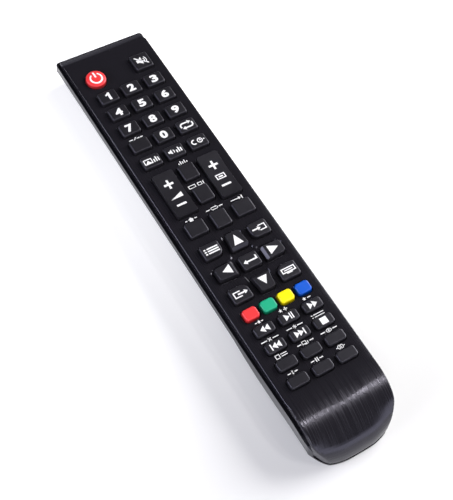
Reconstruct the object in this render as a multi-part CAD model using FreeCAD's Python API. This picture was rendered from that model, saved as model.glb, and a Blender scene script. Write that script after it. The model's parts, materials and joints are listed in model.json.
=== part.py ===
# Handheld infrared remote control: a case of two shells, forty-nine travelling keys, the key mat and
# circuit board under them, and a battery bay with a door in the back.
# Millimetres. +Y points to the infrared end, +Z up through the keys, origin at the middle of the base.
import FreeCAD, Part
import math
import os

Vector = FreeCAD.Vector

# Case
CASE_LENGTH = 226.0
CASE_WIDTH = 45.8
FACE_HEIGHT = 18.0
SIDE_LEDGE = 1.3
FAR_LEDGE = 1.2
NEAR_LIP = 0.8
LIP_THICKNESS = 1.0
NEAR_CORNER = 9.2
FAR_CORNER = 2.8
NOSE_LENGTH = 24.0
NOSE_DROP = 17.0
NOSE_TIP_RADIUS = 13.0
END_BEVEL_LENGTH = 6.2
END_BEVEL_DROP = 3.0
FACE_WALL = 1.5
SKIRT_WALL = 1.6
SKIRT_SHOWN = 4.0
SKIRT_LAP = 1.2
LAP_GAP = 0.2
LOWER_WALL = 1.8
BASE_INSET = 6.7
SHOULDER_HEIGHT = 10.8
SHOULDER_ROUND = 2.4
BASE_ROUND = 1.5
NOSE_BASE_INSET = 1.1
NOSE_SHOULDER_HEIGHT = 1.6
NOSE_EDGE_ROUND = 0.3
FLARE_START = 64.0
FLARE_END = 9.0
FAR_BASE_ROUND = 5.0
SEAT_GAP = 0.1
TOUCHING = 1e-6
OVERSHOOT = 1.0

# Keys, whose places and outlines are stretched until their field ends at these margins
FIELD_SIDE_MARGIN = 4.9
FIELD_NOSE_MARGIN = 6.59
CORNER_CHORDS = 2
WIDE_CORNER = 2.5
WIDE_CORNER_CHORDS = 4
ROUND_SIDES = 16
WIDE_ROUND_SIDES = 24
KEY_RISE = 1.8
KEY_BEVEL = 0.45
KEY_DRAFT = 0.2
KEY_GAP = 0.35
KEY_TRAVEL = 1.0
TRAVEL_SPARE = 0.15
LIP_OVERLAP = 0.3
LIP_DEPTH = 0.95
LIP_PLAY = 0.1
KEY_PITCH = 12.0
KEY_CORNER = 1.0
DIGIT_WIDTH = 9.2
DIGIT_HEIGHT = 6.9
DIGIT_PITCH = 10.08
DIGIT_ROW_FROM_END = 30.9
TOP_ROW_FROM_END = 18.9
MUTE_HEIGHT = 9.2
POWER_DIAMETER = 9.7
POWER_RISE = 2.2
POWER_DOME = 0.5
DOME_BANDS = 3
ROCKER_WIDTH = 10.5
ROCKER_LENGTH = 24.0
ROCKER_OFFSET = 11.45
ROCKER_RISE = 2.1
ROCKER_DISH = 0.8
DISH_BANDS = 6
ROCKER_FROM_END = 91.0
ROCKER_EAR = 6.0
ROCKER_PLAY = 0.35
MIDDLE_WIDTH = 7.9
MIDDLE_HEIGHT = 8.9
AUDIO_FROM_END = 83.4
ASPECT_FROM_END = 96.4
REPEAT_FROM_END = 110.9
PAIR_WIDTH = 9.4
PAIR_HEIGHT = 7.7
PAIR_FROM_END = 110.5
RING_FROM_END = 134.95
RING_KEY_PITCH = 11.75
RING_KEY_HEIGHT = 7.6
RING_CORNER = 3.2
ENTER_WIDTH = 9.2
ENTER_HEIGHT = 7.3
ARROW_RISE = 2.2
ARROW_SLOPE = 1.4
ARROW_LOW = 0.6
ARROW_INNER = 6.85
ARROW_REACH_X = 16.5
ARROW_REACH_Y = 15.5
ARROW_HALF_X = (3.6, 3.1)
ARROW_HALF_Y = (4.45, 3.4)
RECESS_DEPTH = 0.6
RECESS_MARGIN = 0.8
RECESS_RUN = 0.5
RECESS_ROUND = 1.6
COLOUR_WIDTH = 7.3
COLOUR_HEIGHT = 5.9
COLOUR_CORNER = 1.4
COLOUR_PITCH = 8.75
COLOUR_FROM_END = 156.5
LOW_WIDTH = 9.4
LOW_HEIGHT = 5.2
LOW_CORNER = 1.3
LOW_PITCH = 8.52
LOW_ROW_FROM_END = 165.25

# Inside
MAT_THICKNESS = 0.95
MAT_SIDE_GAP = 1.0
MAT_MARGIN = 2.0
MAT_GAP = 0.25
MAT_REST = 0.05
CLAMP_WIDTH = 0.8
BOARD_THICKNESS = 1.0
BOARD_SIDE_GAP = 0.8
BOARD_MARGIN = 3.6
BOARD_CORNER = 2.0
RIB_THICKNESS = 1.2
RIB_UNDER_BOARD = 2.0
RIB_COUNT = 4
RIB_FROM_BAY = 14.65
RIB_FROM_BOARD_END = 4.8
HOOK_LENGTH = 4.0
HOOK_THICKNESS = 1.0
HOOK_DROP = 2.2
HOOK_CATCH = 0.8
HOOK_GAP = 0.2

# Battery bay
CELL_DIAMETER = 10.5
CELL_LENGTH = 44.5
CELL_NUB_LENGTH = 1.2
CELL_NUB_DIAMETER = 3.8
CELL_GAP = 0.3
CONTACT_GAP = 0.1
PLATE_THICKNESS = 0.4
PLATE_WIDTH = 8.4
PLATE_HEIGHT = 8.0
SPRING_LENGTH = 4.4
SPRING_WIRE = 0.6
SPRING_WIDE = 3.4
SPRING_NARROW = 2.1
SPRING_TURNS = 2.5
SPRING_STEPS = 8
SPRING_FACETS = 6
BAY_WALL = 1.2
BAY_CEILING = 0.7
LEDGE_THICKNESS = 1.2
LEDGE_REACH = 2.0
DOOR_FROM_END = 21.0
DOOR_THICKNESS = 1.4
DOOR_RECESS = 0.2
DOOR_GAP = 0.2
DOOR_OVERHANG = 2.2
DOOR_NEAR_MARGIN = 5.6
DOOR_CORNER = 1.5
TAB_WIDTH = 5.0
TAB_REACH = 2.2
TAB_THICKNESS = 1.0
TAB_OFFSET = 7.5
TAB_GAP = 0.3
LATCH_WIDTH = 8.0
LATCH_LEAF = 0.8
LATCH_SPAN = 4.0
LATCH_HEIGHT = 6.0
LATCH_PAD = 0.8
LATCH_GAP = 0.6
THUMB_RADIUS = 9.0
THUMB_DEPTH = 1.0
GRIP_COUNT = 5
GRIP_PITCH = 2.2
GRIP_DEPTH = 0.4
GRIP_WIDTH = 18.0

# Screws
SCREW_OFFSET = 12.0
SCREW_FAR_FROM_END = 8.0
SCREW_NEAR_FROM_END = 13.5
SCREW_RADIUS = 1.0
SCREW_LENGTH = 9.5
SCREW_HEAD_RADIUS = 2.4
SCREW_HEAD_HEIGHT = 1.6
SCREW_HEAD_SUNK = 1.2
SCREW_HOLE_GAP = 0.3
PILOT_GAP = 0.05
BOSS_RADIUS = 2.7
SOCKET_RADIUS = 3.8
SOCKET_HEIGHT = 4.4

# Infrared end
LED_RADIUS = 2.5
LED_LENGTH = 8.6
LED_FLANGE = 0.4
LED_FLANGE_LENGTH = 1.0
LED_HEIGHT = 8.5
LED_FROM_WINDOW = 1.0
LEAD_WIDTH = 0.5
LEAD_PITCH = 2.54
LEAD_RUN = 3.0
WINDOW_WIDTH = 17.0
WINDOW_HEIGHT = 5.0
WINDOW_CORNER = 1.6
WINDOW_FLANGE = 0.8
WINDOW_GAP = 0.1

# Parts on the board
CHIP_SIZE = (10.0, 6.0, 1.8)
CHIP_OFFSET = 2.0
CHIP_FROM_BAY = 58.65
CHIP_LEADS = 8
CHIP_LEAD_PITCH = 1.27
RESONATOR_SIZE = (7.0, 3.2, 4.0)
RESONATOR_OFFSET = -9.0
RESONATOR_FROM_BAY = 66.65
CAPACITOR_RADIUS = 2.5
CAPACITOR_HEIGHT = 8.0
CAPACITOR_OFFSET = 10.0
CAPACITOR_FROM_BAY = 14.65
TRANSISTOR_SIZE = (3.0, 1.4, 1.1)
TRANSISTOR_OFFSET = 6.0
TRANSISTOR_FROM_BOARD_END = 14.8

# Levels and ends that follow from the sizes
LOWER_FAR = CASE_LENGTH / 2
LOWER_NEAR = -CASE_LENGTH / 2
LOWER_HALF = CASE_WIDTH / 2
UPPER_FAR = LOWER_FAR - FAR_LEDGE
UPPER_NEAR = LOWER_NEAR + NEAR_LIP
UPPER_HALF = LOWER_HALF - SIDE_LEDGE
NOSE_START = UPPER_NEAR + NOSE_LENGTH
NOSE_FOOT = FACE_HEIGHT - NOSE_DROP
FIELD_REACH = LOW_ROW_FROM_END + 3 * LOW_PITCH + LOW_HEIGHT / 2
ACROSS = (UPPER_HALF - FIELD_SIDE_MARGIN) / (KEY_PITCH + PAIR_WIDTH / 2)
ALONG = (UPPER_FAR - NOSE_START - FIELD_NOSE_MARGIN) / FIELD_REACH
POWER_SPAN = POWER_DIAMETER * min(ACROSS, ALONG)
MAT_HALF = UPPER_HALF - SKIRT_WALL - MAT_SIDE_GAP
BOARD_HALF = UPPER_HALF - SKIRT_WALL - BOARD_SIDE_GAP
WALL_UNDER = FACE_HEIGHT - FACE_WALL
LIP_TOP = WALL_UNDER - LIP_PLAY
LIP_BOTTOM = LIP_TOP - LIP_DEPTH
BOARD_TOP = LIP_BOTTOM - KEY_TRAVEL - TRAVEL_SPARE
BOARD_BOTTOM = BOARD_TOP - BOARD_THICKNESS
MAT_TOP = BOARD_TOP + MAT_REST + MAT_THICKNESS
LIP_REACH = KEY_GAP + LIP_OVERLAP
FIELD_FAR = UPPER_FAR - TOP_ROW_FROM_END * ALONG + POWER_SPAN / 2 + LIP_REACH
FIELD_NEAR = UPPER_FAR - FIELD_REACH * ALONG - LIP_REACH
DOOR_TOP = DOOR_RECESS + DOOR_THICKNESS
CELL_CENTRE = DOOR_TOP + DOOR_GAP + CELL_DIAMETER / 2
CELL_OFFSET = (CELL_DIAMETER + CELL_GAP) / 2
BAY_HALF = CELL_DIAMETER + 1.5 * CELL_GAP
BAY_TOP = CELL_CENTRE + CELL_DIAMETER / 2 + DOOR_GAP
DOOR_NEAR = LOWER_NEAR + DOOR_FROM_END
BAY_NEAR = DOOR_NEAR + DOOR_NEAR_MARGIN
SPRING_START = PLATE_THICKNESS + CONTACT_GAP / 2 - SPRING_WIRE / 4
BAY_FAR = BAY_NEAR + SPRING_START + SPRING_LENGTH + CELL_LENGTH + PLATE_THICKNESS + 1.5 * CONTACT_GAP
DOOR_HALF = BAY_HALF + DOOR_OVERHANG
LATCH_START = BAY_FAR + BAY_WALL + DOOR_GAP
LATCH_END = LATCH_START + LATCH_SPAN
DOOR_FAR = LATCH_START + LATCH_LEAF + DOOR_OVERHANG / 2
OUTSIDE = CASE_LENGTH


def box(x_range, y_range, z_range):
    """Block between two values on each axis."""
    size = [high - low for low, high in (x_range, y_range, z_range)]
    return Part.makeBox(*size, Vector(x_range[0], y_range[0], z_range[0]))


def polygon(points):
    """Flat face with straight edges."""
    return Part.Face(Part.makePolygon(points + points[:1]))


def skin(rings):
    """Solid with flat faces through rings that all have the same number of points."""
    faces = [polygon(rings[0]), polygon(rings[-1])]
    for ring, following in zip(rings, rings[1:]):
        for index in range(len(ring)):
            a, b, c, d = ring[index - 1], ring[index], following[index], following[index - 1]
            if abs((b - a).cross(c - a).dot(d - a)) < TOUCHING:
                faces.append(polygon([a, b, c, d]))
            else:
                faces += [polygon([a, b, c]), polygon([a, c, d])]
    return Part.makeSolid(Part.makeShell(faces))


def turned(profile, base, axis, sides=ROUND_SIDES):
    """Many-sided solid turned from a profile of (radius, distance along the axis) points."""
    across = Vector(1, 0, 0)
    upwards = axis.cross(across)
    rings = []
    for radius, along in profile:
        ring = []
        for side in range(sides):
            angle = 2 * math.pi * side / sides
            outwards = across * math.cos(angle) + upwards * math.sin(angle)
            ring.append(base + axis * along + outwards * radius)
        rings.append(ring)
    return skin(rings)


def rod(radius, x, y, z_low, z_high, sides=ROUND_SIDES):
    """Upright many-sided rod."""
    return turned([(radius, z_low), (radius, z_high)], Vector(x, y, 0), Vector(0, 0, 1), sides)


def corner_arc(points, index, radius):
    """Arc that rounds one corner of an outline."""
    corner = points[index]
    back = (points[index - 1] - corner).normalize()
    ahead = (points[(index + 1) % len(points)] - corner).normalize()
    half = back.getAngle(ahead) / 2
    reach = radius / math.tan(half)
    middle = (back + ahead).normalize() * (radius / math.sin(half) - radius)
    return Part.Arc(corner + back * reach, corner + middle, corner + ahead * reach)


def round_wire(points, radii):
    """Closed wire through points, each corner rounded by its radius; a radius of 0 leaves it sharp."""
    count = len(points)
    edges = []
    ends = []
    for index in range(count):
        if radii[index] > 0:
            edges.append(corner_arc(points, index, radii[index]).toShape())
            ends.append((edges[-1].firstVertex().Point, edges[-1].lastVertex().Point))
        else:
            ends.append((points[index], points[index]))
    for index in range(count):
        start, end = ends[index][1], ends[(index + 1) % count][0]
        if (end - start).Length > TOUCHING:
            edges.append(Part.makeLine(start, end))
    return Part.Wire(Part.__sortEdges__(edges))


def chord_ring(points, radii):
    """Points of an outline whose corners are each taken off by a few chords of their arc."""
    outline = []
    for index, radius in enumerate(radii):
        if radius > 0:
            chords = WIDE_CORNER_CHORDS if radius > WIDE_CORNER else CORNER_CHORDS
            outline += corner_arc(points, index, radius).toShape().discretize(chords + 1)
        else:
            outline.append(points[index])
    return outline


def chord_wire(points, radii):
    """Closed wire round an outline with chord corners."""
    ring = chord_ring(points, radii)
    return Part.makePolygon(ring + ring[:1])


def level(corners, height, centre=(0.0, 0.0)):
    """Plan corners as points at one height, moved to a centre."""
    return [Vector(x + centre[0], y + centre[1], height) for x, y in corners]


def grown(corners, distance):
    """Anticlockwise plan corners with every side moved outwards by a distance."""
    count = len(corners)
    lines = []
    for index in range(count):
        x1, y1 = corners[index]
        x2, y2 = corners[(index + 1) % count]
        length = math.hypot(x2 - x1, y2 - y1)
        normal = ((y2 - y1) / length, (x1 - x2) / length)
        lines.append((normal, normal[0] * x1 + normal[1] * y1 + distance))
    result = []
    for index in range(count):
        (a, b), c = lines[index - 1]
        (d, e), f = lines[index]
        turn = a * e - b * d
        result.append(((c * e - b * f) / turn, (a * f - c * d) / turn))
    return result


def prism(corners, radii, low, high, centre=(0.0, 0.0), outline=round_wire):
    """Upright prism on rounded plan corners."""
    face = Part.Face(outline(level(corners, low, centre), radii))
    return face.extrude(Vector(0, 0, high - low))


def tapered(sections, centre=(0.0, 0.0)):
    """Flat-faced solid through outlines with chord corners, each given as corners, radii and height."""
    return skin([chord_ring(level(corners, height, centre), radii) for corners, radii, height in sections])


def rectangle(width, height):
    """Anticlockwise corners of a centred rectangle."""
    x, y = width / 2, height / 2
    return [(-x, -y), (x, -y), (x, y), (-x, y)]


def case_plan(half, near, far, near_corner, far_corner, low, high):
    """Upright prism on the case's outline: wide corners at the nose, small ones at the far end."""
    corners = [(-half, near), (half, near), (half, far), (-half, far)]
    return prism(corners, [near_corner, near_corner, far_corner, far_corner], low, high)


def upper_plan(inset, low, high):
    """Outline of the upper shell, moved inwards."""
    return case_plan(
        UPPER_HALF - inset, UPPER_NEAR + inset, UPPER_FAR - inset,
        NEAR_CORNER - inset, FAR_CORNER - min(inset, FAR_CORNER / 2), low, high)


def lower_plan(inset, low, high):
    """Outline of the lower shell, moved inwards."""
    return case_plan(
        LOWER_HALF - inset, LOWER_NEAR + inset, LOWER_FAR - inset,
        NEAR_CORNER + SIDE_LEDGE - inset, FAR_CORNER + SIDE_LEDGE - inset, low, high)


def under_face(depth, bevelled=True):
    """Everything below the face, the nose curve and, if wanted, the far bevel, at a depth inside them."""
    top = FACE_HEIGHT - depth
    far = LOWER_FAR + OVERSHOOT
    slope = END_BEVEL_DROP / END_BEVEL_LENGTH
    sink = depth * math.hypot(1.0, slope)
    turn = UPPER_FAR - END_BEVEL_LENGTH - (sink - depth) / slope
    far_top = top - (far - turn) * slope if bevelled else top
    # The nose is two arcs that meet smoothly: a long one from the face and a short one down to the foot
    short = NOSE_TIP_RADIUS
    run, drop = NOSE_LENGTH - short, NOSE_DROP - short
    long = short + (run ** 2 + drop ** 2) / (2 * drop)
    long_centre = Vector(0, NOSE_START, FACE_HEIGHT - long)
    short_centre = Vector(0, UPPER_NEAR + short, NOSE_FOOT)
    outwards = (short_centre - long_centre).normalize()
    meeting = short_centre + outwards * (short - depth)
    bend = outwards.getAngle(Vector(0, 0, 1)) / 2
    high = long_centre + Vector(0, -math.sin(bend), math.cos(bend)) * (long - depth)
    bend += math.pi / 4
    low = short_centre + Vector(0, -math.sin(bend), math.cos(bend)) * (short - depth)
    face_end = Vector(0, NOSE_START, top)
    foot = Vector(0, UPPER_NEAR + depth, NOSE_FOOT)
    points = [foot, Vector(0, UPPER_NEAR + depth, -OVERSHOOT), Vector(0, far, -OVERSHOOT),
              Vector(0, far, far_top)]
    if bevelled:
        points.append(Vector(0, turn, top))
    points.append(face_end)
    edges = [Part.makeLine(points[i], points[i + 1]) for i in range(len(points) - 1)]
    edges.append(Part.Arc(face_end, high, meeting).toShape())
    edges.append(Part.Arc(meeting, low, foot).toShape())
    face = Part.Face(Part.Wire(edges))
    face.translate(Vector(-CASE_WIDTH, 0, 0))
    return face.extrude(Vector(2 * CASE_WIDTH, 0, 0))


def screw_places():
    """Centres of the case screws."""
    far = UPPER_FAR - SCREW_FAR_FROM_END
    near = UPPER_NEAR + SCREW_NEAR_FROM_END
    return [(-SCREW_OFFSET, far), (SCREW_OFFSET, far), (0.0, near)]


def board_ends():
    """Near and far end of the circuit board."""
    near = FIELD_NEAR - BOARD_MARGIN / 2
    led_back = LOWER_FAR - LOWER_WALL - WINDOW_FLANGE - LED_FROM_WINDOW - LED_LENGTH
    return near, led_back - LEAD_RUN + 2 * LEAD_WIDTH


def rib_places():
    """Y of the ribs that carry the board, evenly spaced from the bay to the board's far end."""
    first = BAY_FAR + RIB_FROM_BAY
    last = board_ends()[1] - RIB_FROM_BOARD_END
    return [first + (last - first) * index / (RIB_COUNT - 1) for index in range(RIB_COUNT)]


def hook_places():
    """Y of the hooks that hold the shells together: one beside the bay, one between each two ribs."""
    ribs = rib_places()
    return [(BAY_NEAR + BAY_FAR) / 2] + [(near + far) / 2 for near, far in zip(ribs, ribs[1:])]


# Key outlines: each key is a name, a centre, plan corners, corner radii and a rise above the face
def plain_key(name, x, y, width, height, corner, rise=KEY_RISE):
    return {"name": name, "centre": (x, y), "corners": rectangle(width, height),
            "radii": [corner] * 4, "rise": rise, "shape": "block"}


def ring_key(name, column, row):
    """One of the four keys round the arrows, with a wide corner towards the middle."""
    corners = rectangle(PAIR_WIDTH, RING_KEY_HEIGHT)
    radii = [KEY_CORNER] * 4
    for index, (x, y) in enumerate(corners):
        if x * column < 0 and y * row < 0:
            radii[index] = RING_CORNER
    y = UPPER_FAR - RING_FROM_END + row * RING_KEY_PITCH
    return {"name": name, "centre": (column * KEY_PITCH, y), "corners": corners,
            "radii": radii, "rise": KEY_RISE, "shape": "block"}


def arrow_key(name, turn):
    """An arrow key: wider on the side of the middle, and sloped down there."""
    across = turn % 2 == 0
    reach = ARROW_REACH_X if across else ARROW_REACH_Y
    inner_half, outer_half = ARROW_HALF_X if across else ARROW_HALF_Y
    side = [(ARROW_INNER, -inner_half), (reach, -outer_half),
            (reach, outer_half), (ARROW_INNER, inner_half)]
    for _ in range(turn):
        side = [(-y, x) for x, y in side]
    return {"name": name, "centre": (0.0, UPPER_FAR - RING_FROM_END), "corners": side,
            "radii": [KEY_CORNER] * 4, "rise": ARROW_RISE, "shape": "arrow", "turn": turn,
            "inner": ARROW_INNER * (ACROSS if across else ALONG)}


def fitted(key):
    """The key with its place and outline stretched with the face."""
    x, y = key["centre"]
    key["centre"] = (x * ACROSS, UPPER_FAR - (UPPER_FAR - y) * ALONG)
    if key["shape"] != "round":
        key["corners"] = [(along_x * ACROSS, along_y * ALONG) for along_x, along_y in key["corners"]]
    return key


def key_list():
    keys = []
    top = UPPER_FAR - TOP_ROW_FROM_END
    keys.append({"name": "key_power", "centre": (-KEY_PITCH, top), "rise": POWER_RISE, "shape": "round"})
    keys.append(plain_key("key_mute", KEY_PITCH, top, DIGIT_WIDTH, MUTE_HEIGHT, KEY_CORNER))
    digit_rows = [("1", "2", "3"), ("4", "5", "6"), ("7", "8", "9"), ("dash", "0", "swap"),
                  ("picture", "sound", "sleep")]
    for row, names in enumerate(digit_rows):
        y = UPPER_FAR - DIGIT_ROW_FROM_END - row * DIGIT_PITCH
        for column, name in enumerate(names):
            x = (column - 1) * KEY_PITCH
            keys.append(plain_key("key_" + name, x, y, DIGIT_WIDTH, DIGIT_HEIGHT, KEY_CORNER))
    for name, side in (("key_volume", -1), ("key_channel", 1)):
        rocker = plain_key(name, side * ROCKER_OFFSET, UPPER_FAR - ROCKER_FROM_END,
                           ROCKER_WIDTH, ROCKER_LENGTH, KEY_CORNER, ROCKER_RISE)
        rocker["shape"] = "rocker"
        keys.append(rocker)
    middle = (("key_audio", AUDIO_FROM_END), ("key_aspect", ASPECT_FROM_END),
              ("key_repeat", REPEAT_FROM_END))
    for name, distance in middle:
        keys.append(plain_key(name, 0.0, UPPER_FAR - distance, MIDDLE_WIDTH, MIDDLE_HEIGHT, KEY_CORNER))
    for name, side in (("key_root", -1), ("key_goto", 1)):
        keys.append(plain_key(name, side * KEY_PITCH, UPPER_FAR - PAIR_FROM_END,
                              PAIR_WIDTH, PAIR_HEIGHT, KEY_CORNER))
    keys.append(ring_key("key_menu", -1, 1))
    keys.append(ring_key("key_source", 1, 1))
    keys.append(ring_key("key_exit", -1, -1))
    keys.append(ring_key("key_display", 1, -1))
    keys.append(plain_key("key_enter", 0.0, UPPER_FAR - RING_FROM_END,
                          ENTER_WIDTH, ENTER_HEIGHT, KEY_CORNER))
    for turn, name in enumerate(("key_right", "key_up", "key_left", "key_down")):
        keys.append(arrow_key(name, turn))
    for place, name in enumerate(("red", "green", "yellow", "blue")):
        x = (place - 1.5) * COLOUR_PITCH
        keys.append(plain_key("key_" + name, x, UPPER_FAR - COLOUR_FROM_END,
                              COLOUR_WIDTH, COLOUR_HEIGHT, COLOUR_CORNER))
    low_rows = [("rewind", "play", "forward"), ("previous", "next", "stop"), ("text", "subpage", "reveal"),
                ("size", "hold", "mix")]
    for row, names in enumerate(low_rows):
        y = UPPER_FAR - LOW_ROW_FROM_END - row * LOW_PITCH
        for column, name in enumerate(names):
            keys.append(plain_key("key_" + name, (column - 1) * KEY_PITCH, y,
                                  LOW_WIDTH, LOW_HEIGHT, LOW_CORNER))
    return [fitted(key) for key in keys]


def extent(key):
    """Lowest and highest x and y of a key's foot outline."""
    if key["shape"] == "round":
        half = POWER_SPAN / 2
        xs, ys = [-half, half], [-half, half]
    else:
        xs = [x for x, y in key["corners"]]
        ys = [y for x, y in key["corners"]]
    x0, y0 = key["centre"]
    return (x0 + min(xs), x0 + max(xs)), (y0 + min(ys), y0 + max(ys))


def rocker_crown(key, top):
    """Space under a rocker's dished top and its bevelled edges, a little wider than the key."""
    x, y = key["centre"]
    half_x, half_y = key["corners"][2]
    flat_x = half_x - KEY_DRAFT - KEY_BEVEL
    flat_y = half_y - KEY_DRAFT - KEY_BEVEL
    spare = 2 * KEY_BEVEL
    heights = [(-flat_y - spare, top - spare)]
    for step in range(DISH_BANDS + 1):
        share = 2 * step / DISH_BANDS - 1
        heights.append((flat_y * share, top - ROCKER_DISH * (1 - share ** 2)))
    heights.append((flat_y + spare, top - spare))
    sections = []
    for along, height in heights:
        edge = flat_x + spare
        outline = [(-edge, LIP_BOTTOM), (edge, LIP_BOTTOM), (edge, height - spare),
                   (flat_x, height), (-flat_x, height), (-edge, height - spare)]
        sections.append([Vector(x + across, y + along, z) for across, z in outline])
    return skin(sections)


def key_cap(key):
    """The key above its retaining lip: drafted walls and a bevelled top."""
    top = FACE_HEIGHT + key["rise"]
    x, y = key["centre"]
    if key["shape"] == "round":
        shoulder = POWER_SPAN / 2 - KEY_DRAFT
        rim = shoulder - KEY_BEVEL
        edge = top - POWER_DOME
        profile = [(POWER_SPAN / 2, LIP_TOP), (shoulder, edge - KEY_BEVEL)]
        for step in range(DOME_BANDS):
            share = 1.0 - step / DOME_BANDS
            profile.append((rim * share, top - POWER_DOME * share ** 2))
        return turned(profile, Vector(x, y, 0), Vector(0, 0, 1), WIDE_ROUND_SIDES)
    corners, radii = key["corners"], key["radii"]
    drafted = grown(corners, -KEY_DRAFT)
    sections = [(corners, radii, LIP_TOP), (drafted, radii, top - KEY_BEVEL),
                (grown(drafted, -KEY_BEVEL), [radius - KEY_BEVEL for radius in radii], top)]
    if key["shape"] == "rocker":
        block = tapered([sections[0], (drafted, radii, top)], key["centre"])
        return block.common(rocker_crown(key, top))
    cap = tapered(sections, key["centre"])
    if key["shape"] == "arrow":
        low = FACE_HEIGHT + ARROW_LOW
        inner = key["inner"] - KEY_GAP
        slope = [Vector(inner, 0, low), Vector(key["inner"] + ARROW_SLOPE, 0, top + SEAT_GAP),
                 Vector(inner, 0, top + SEAT_GAP)]
        wedge = Part.Face(Part.makePolygon(slope + slope[:1]))
        wedge.translate(Vector(0, -ARROW_REACH_X / 2, 0))
        wedge = wedge.extrude(Vector(0, ARROW_REACH_X, 0))
        wedge.rotate(Vector(0, 0, 0), Vector(0, 0, 1), 90 * key["turn"])
        wedge.translate(Vector(x, y, 0))
        cap = cap.cut(wedge)
    return cap


def key_solid(key):
    """A whole key: the cap and the lip that keeps it behind the face."""
    (x_low, x_high), (y_low, y_high) = extent(key)
    if key["shape"] == "rocker":
        middle = key["centre"][1]
        foot = box((x_low, x_high), (y_low, y_high), (LIP_BOTTOM, LIP_TOP - ROCKER_PLAY))
        ears = box((x_low - LIP_REACH, x_high + LIP_REACH),
                   (middle - ROCKER_EAR / 2, middle + ROCKER_EAR / 2), (LIP_BOTTOM, LIP_TOP - ROCKER_PLAY))
        neck = prism(key["corners"], key["radii"], LIP_TOP - ROCKER_PLAY, LIP_TOP,
                     key["centre"], chord_wire)
        return key_cap(key).fuse([neck, foot, ears]).removeSplitter()
    lip = box((x_low, x_high), (y_low - LIP_REACH, y_high + LIP_REACH), (LIP_BOTTOM, LIP_TOP))
    return key_cap(key).fuse(lip)


def key_hole(key):
    """The space that a key travels in, through the face."""
    low, high = WALL_UNDER - OVERSHOOT, FACE_HEIGHT + OVERSHOOT
    if key["shape"] == "round":
        return rod(POWER_SPAN / 2 + KEY_GAP, *key["centre"], low, high, WIDE_ROUND_SIDES)
    radii = [radius + KEY_GAP for radius in key["radii"]]
    return prism(grown(key["corners"], KEY_GAP), radii, low, high, key["centre"], chord_wire)


def recess():
    """The shallow cross-shaped dish that the arrow keys stand in."""
    across = ARROW_REACH_X + RECESS_MARGIN
    along = ARROW_REACH_Y + RECESS_MARGIN
    inner_x = ARROW_HALF_Y[0] + RECESS_MARGIN
    inner_y = ARROW_HALF_X[0] + RECESS_MARGIN
    outer_x = ARROW_HALF_Y[1] + RECESS_MARGIN
    outer_y = ARROW_HALF_X[1] + RECESS_MARGIN
    quarter = [(across, outer_y), (inner_x, inner_y), (outer_x, along)]
    corners = []
    for mirror_x, mirror_y in ((1, 1), (-1, 1), (-1, -1), (1, -1)):
        part = [(mirror_x * x * ACROSS, mirror_y * y * ALONG) for x, y in quarter]
        corners += part if mirror_x * mirror_y > 0 else part[::-1]
    floor = FACE_HEIGHT - RECESS_DEPTH
    rim = grown(corners, RECESS_RUN)
    centre = (0.0, UPPER_FAR - RING_FROM_END * ALONG)
    radii = [RECESS_ROUND] * len(corners)
    above = FACE_HEIGHT + OVERSHOOT
    return tapered([(corners, radii, floor), (rim, radii, FACE_HEIGHT), (rim, radii, above)], centre)


def upper_shell(keys):
    outer = upper_plan(0.0, LIP_THICKNESS + SEAT_GAP, FACE_HEIGHT + OVERSHOOT).common(under_face(0.0))
    hollow = upper_plan(SKIRT_WALL, 0.0, FACE_HEIGHT).common(under_face(FACE_WALL))
    shell = outer.cut([hollow, under_face(SKIRT_SHOWN + SKIRT_LAP, False)])
    added = []
    for x, y in screw_places():
        boss = rod(BOSS_RADIUS, x, y, SOCKET_HEIGHT + LOWER_WALL + SEAT_GAP, FACE_HEIGHT)
        added.append(boss.common(under_face(FACE_WALL / 2)))
    clamp_low = MAT_TOP + MAT_REST
    for side in (-1, 1):
        edge = side * MAT_HALF
        rib = sorted((edge, edge - side * CLAMP_WIDTH))
        added.append(box(rib, (FIELD_NEAR, FIELD_FAR), (clamp_low, WALL_UNDER + FACE_WALL / 2)))
        outer_face = side * (LOWER_HALF - LOWER_WALL - HOOK_GAP)
        inner = outer_face - side * HOOK_THICKNESS
        skirt_edge = FACE_HEIGHT - SKIRT_SHOWN - SKIRT_LAP
        for y in hook_places():
            along = (y - HOOK_LENGTH / 2, y + HOOK_LENGTH / 2)
            added.append(box(sorted((inner, outer_face)), along, (skirt_edge - HOOK_DROP, WALL_UNDER)))
            tip = sorted((inner, outer_face + side * HOOK_CATCH))
            added.append(box(tip, along, (skirt_edge - HOOK_DROP, skirt_edge - HOOK_DROP + HOOK_THICKNESS)))
    shell = shell.fuse(added)
    pilots = [rod(SCREW_RADIUS + PILOT_GAP, x, y, 0.0, SCREW_HEAD_SUNK + SCREW_HEAD_HEIGHT
                       + SCREW_LENGTH + SEAT_GAP) for x, y in screw_places()]
    holes = [key_hole(key) for key in keys]
    return shell.cut(pilots + holes + [recess()]).removeSplitter()


def hull_section(inset, y, base_inset, shoulder_height, base_round, shoulder_round):
    """Cross-section of the lower shell's body at y: sloped sides under an upright wall, moved inwards."""
    base, half = LOWER_HALF - base_inset, LOWER_HALF
    section = [(-base, 0.0), (base, 0.0), (half, shoulder_height), (half, CASE_WIDTH),
               (-half, CASE_WIDTH), (-half, shoulder_height)]
    radii = [base_round, base_round, shoulder_round, 0.0, 0.0, shoulder_round]
    radii = [max(radius - inset, radius / 3) for radius in radii]
    return chord_ring([Vector(x, y, z) for x, z in grown(section, -inset)], radii)


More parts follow.
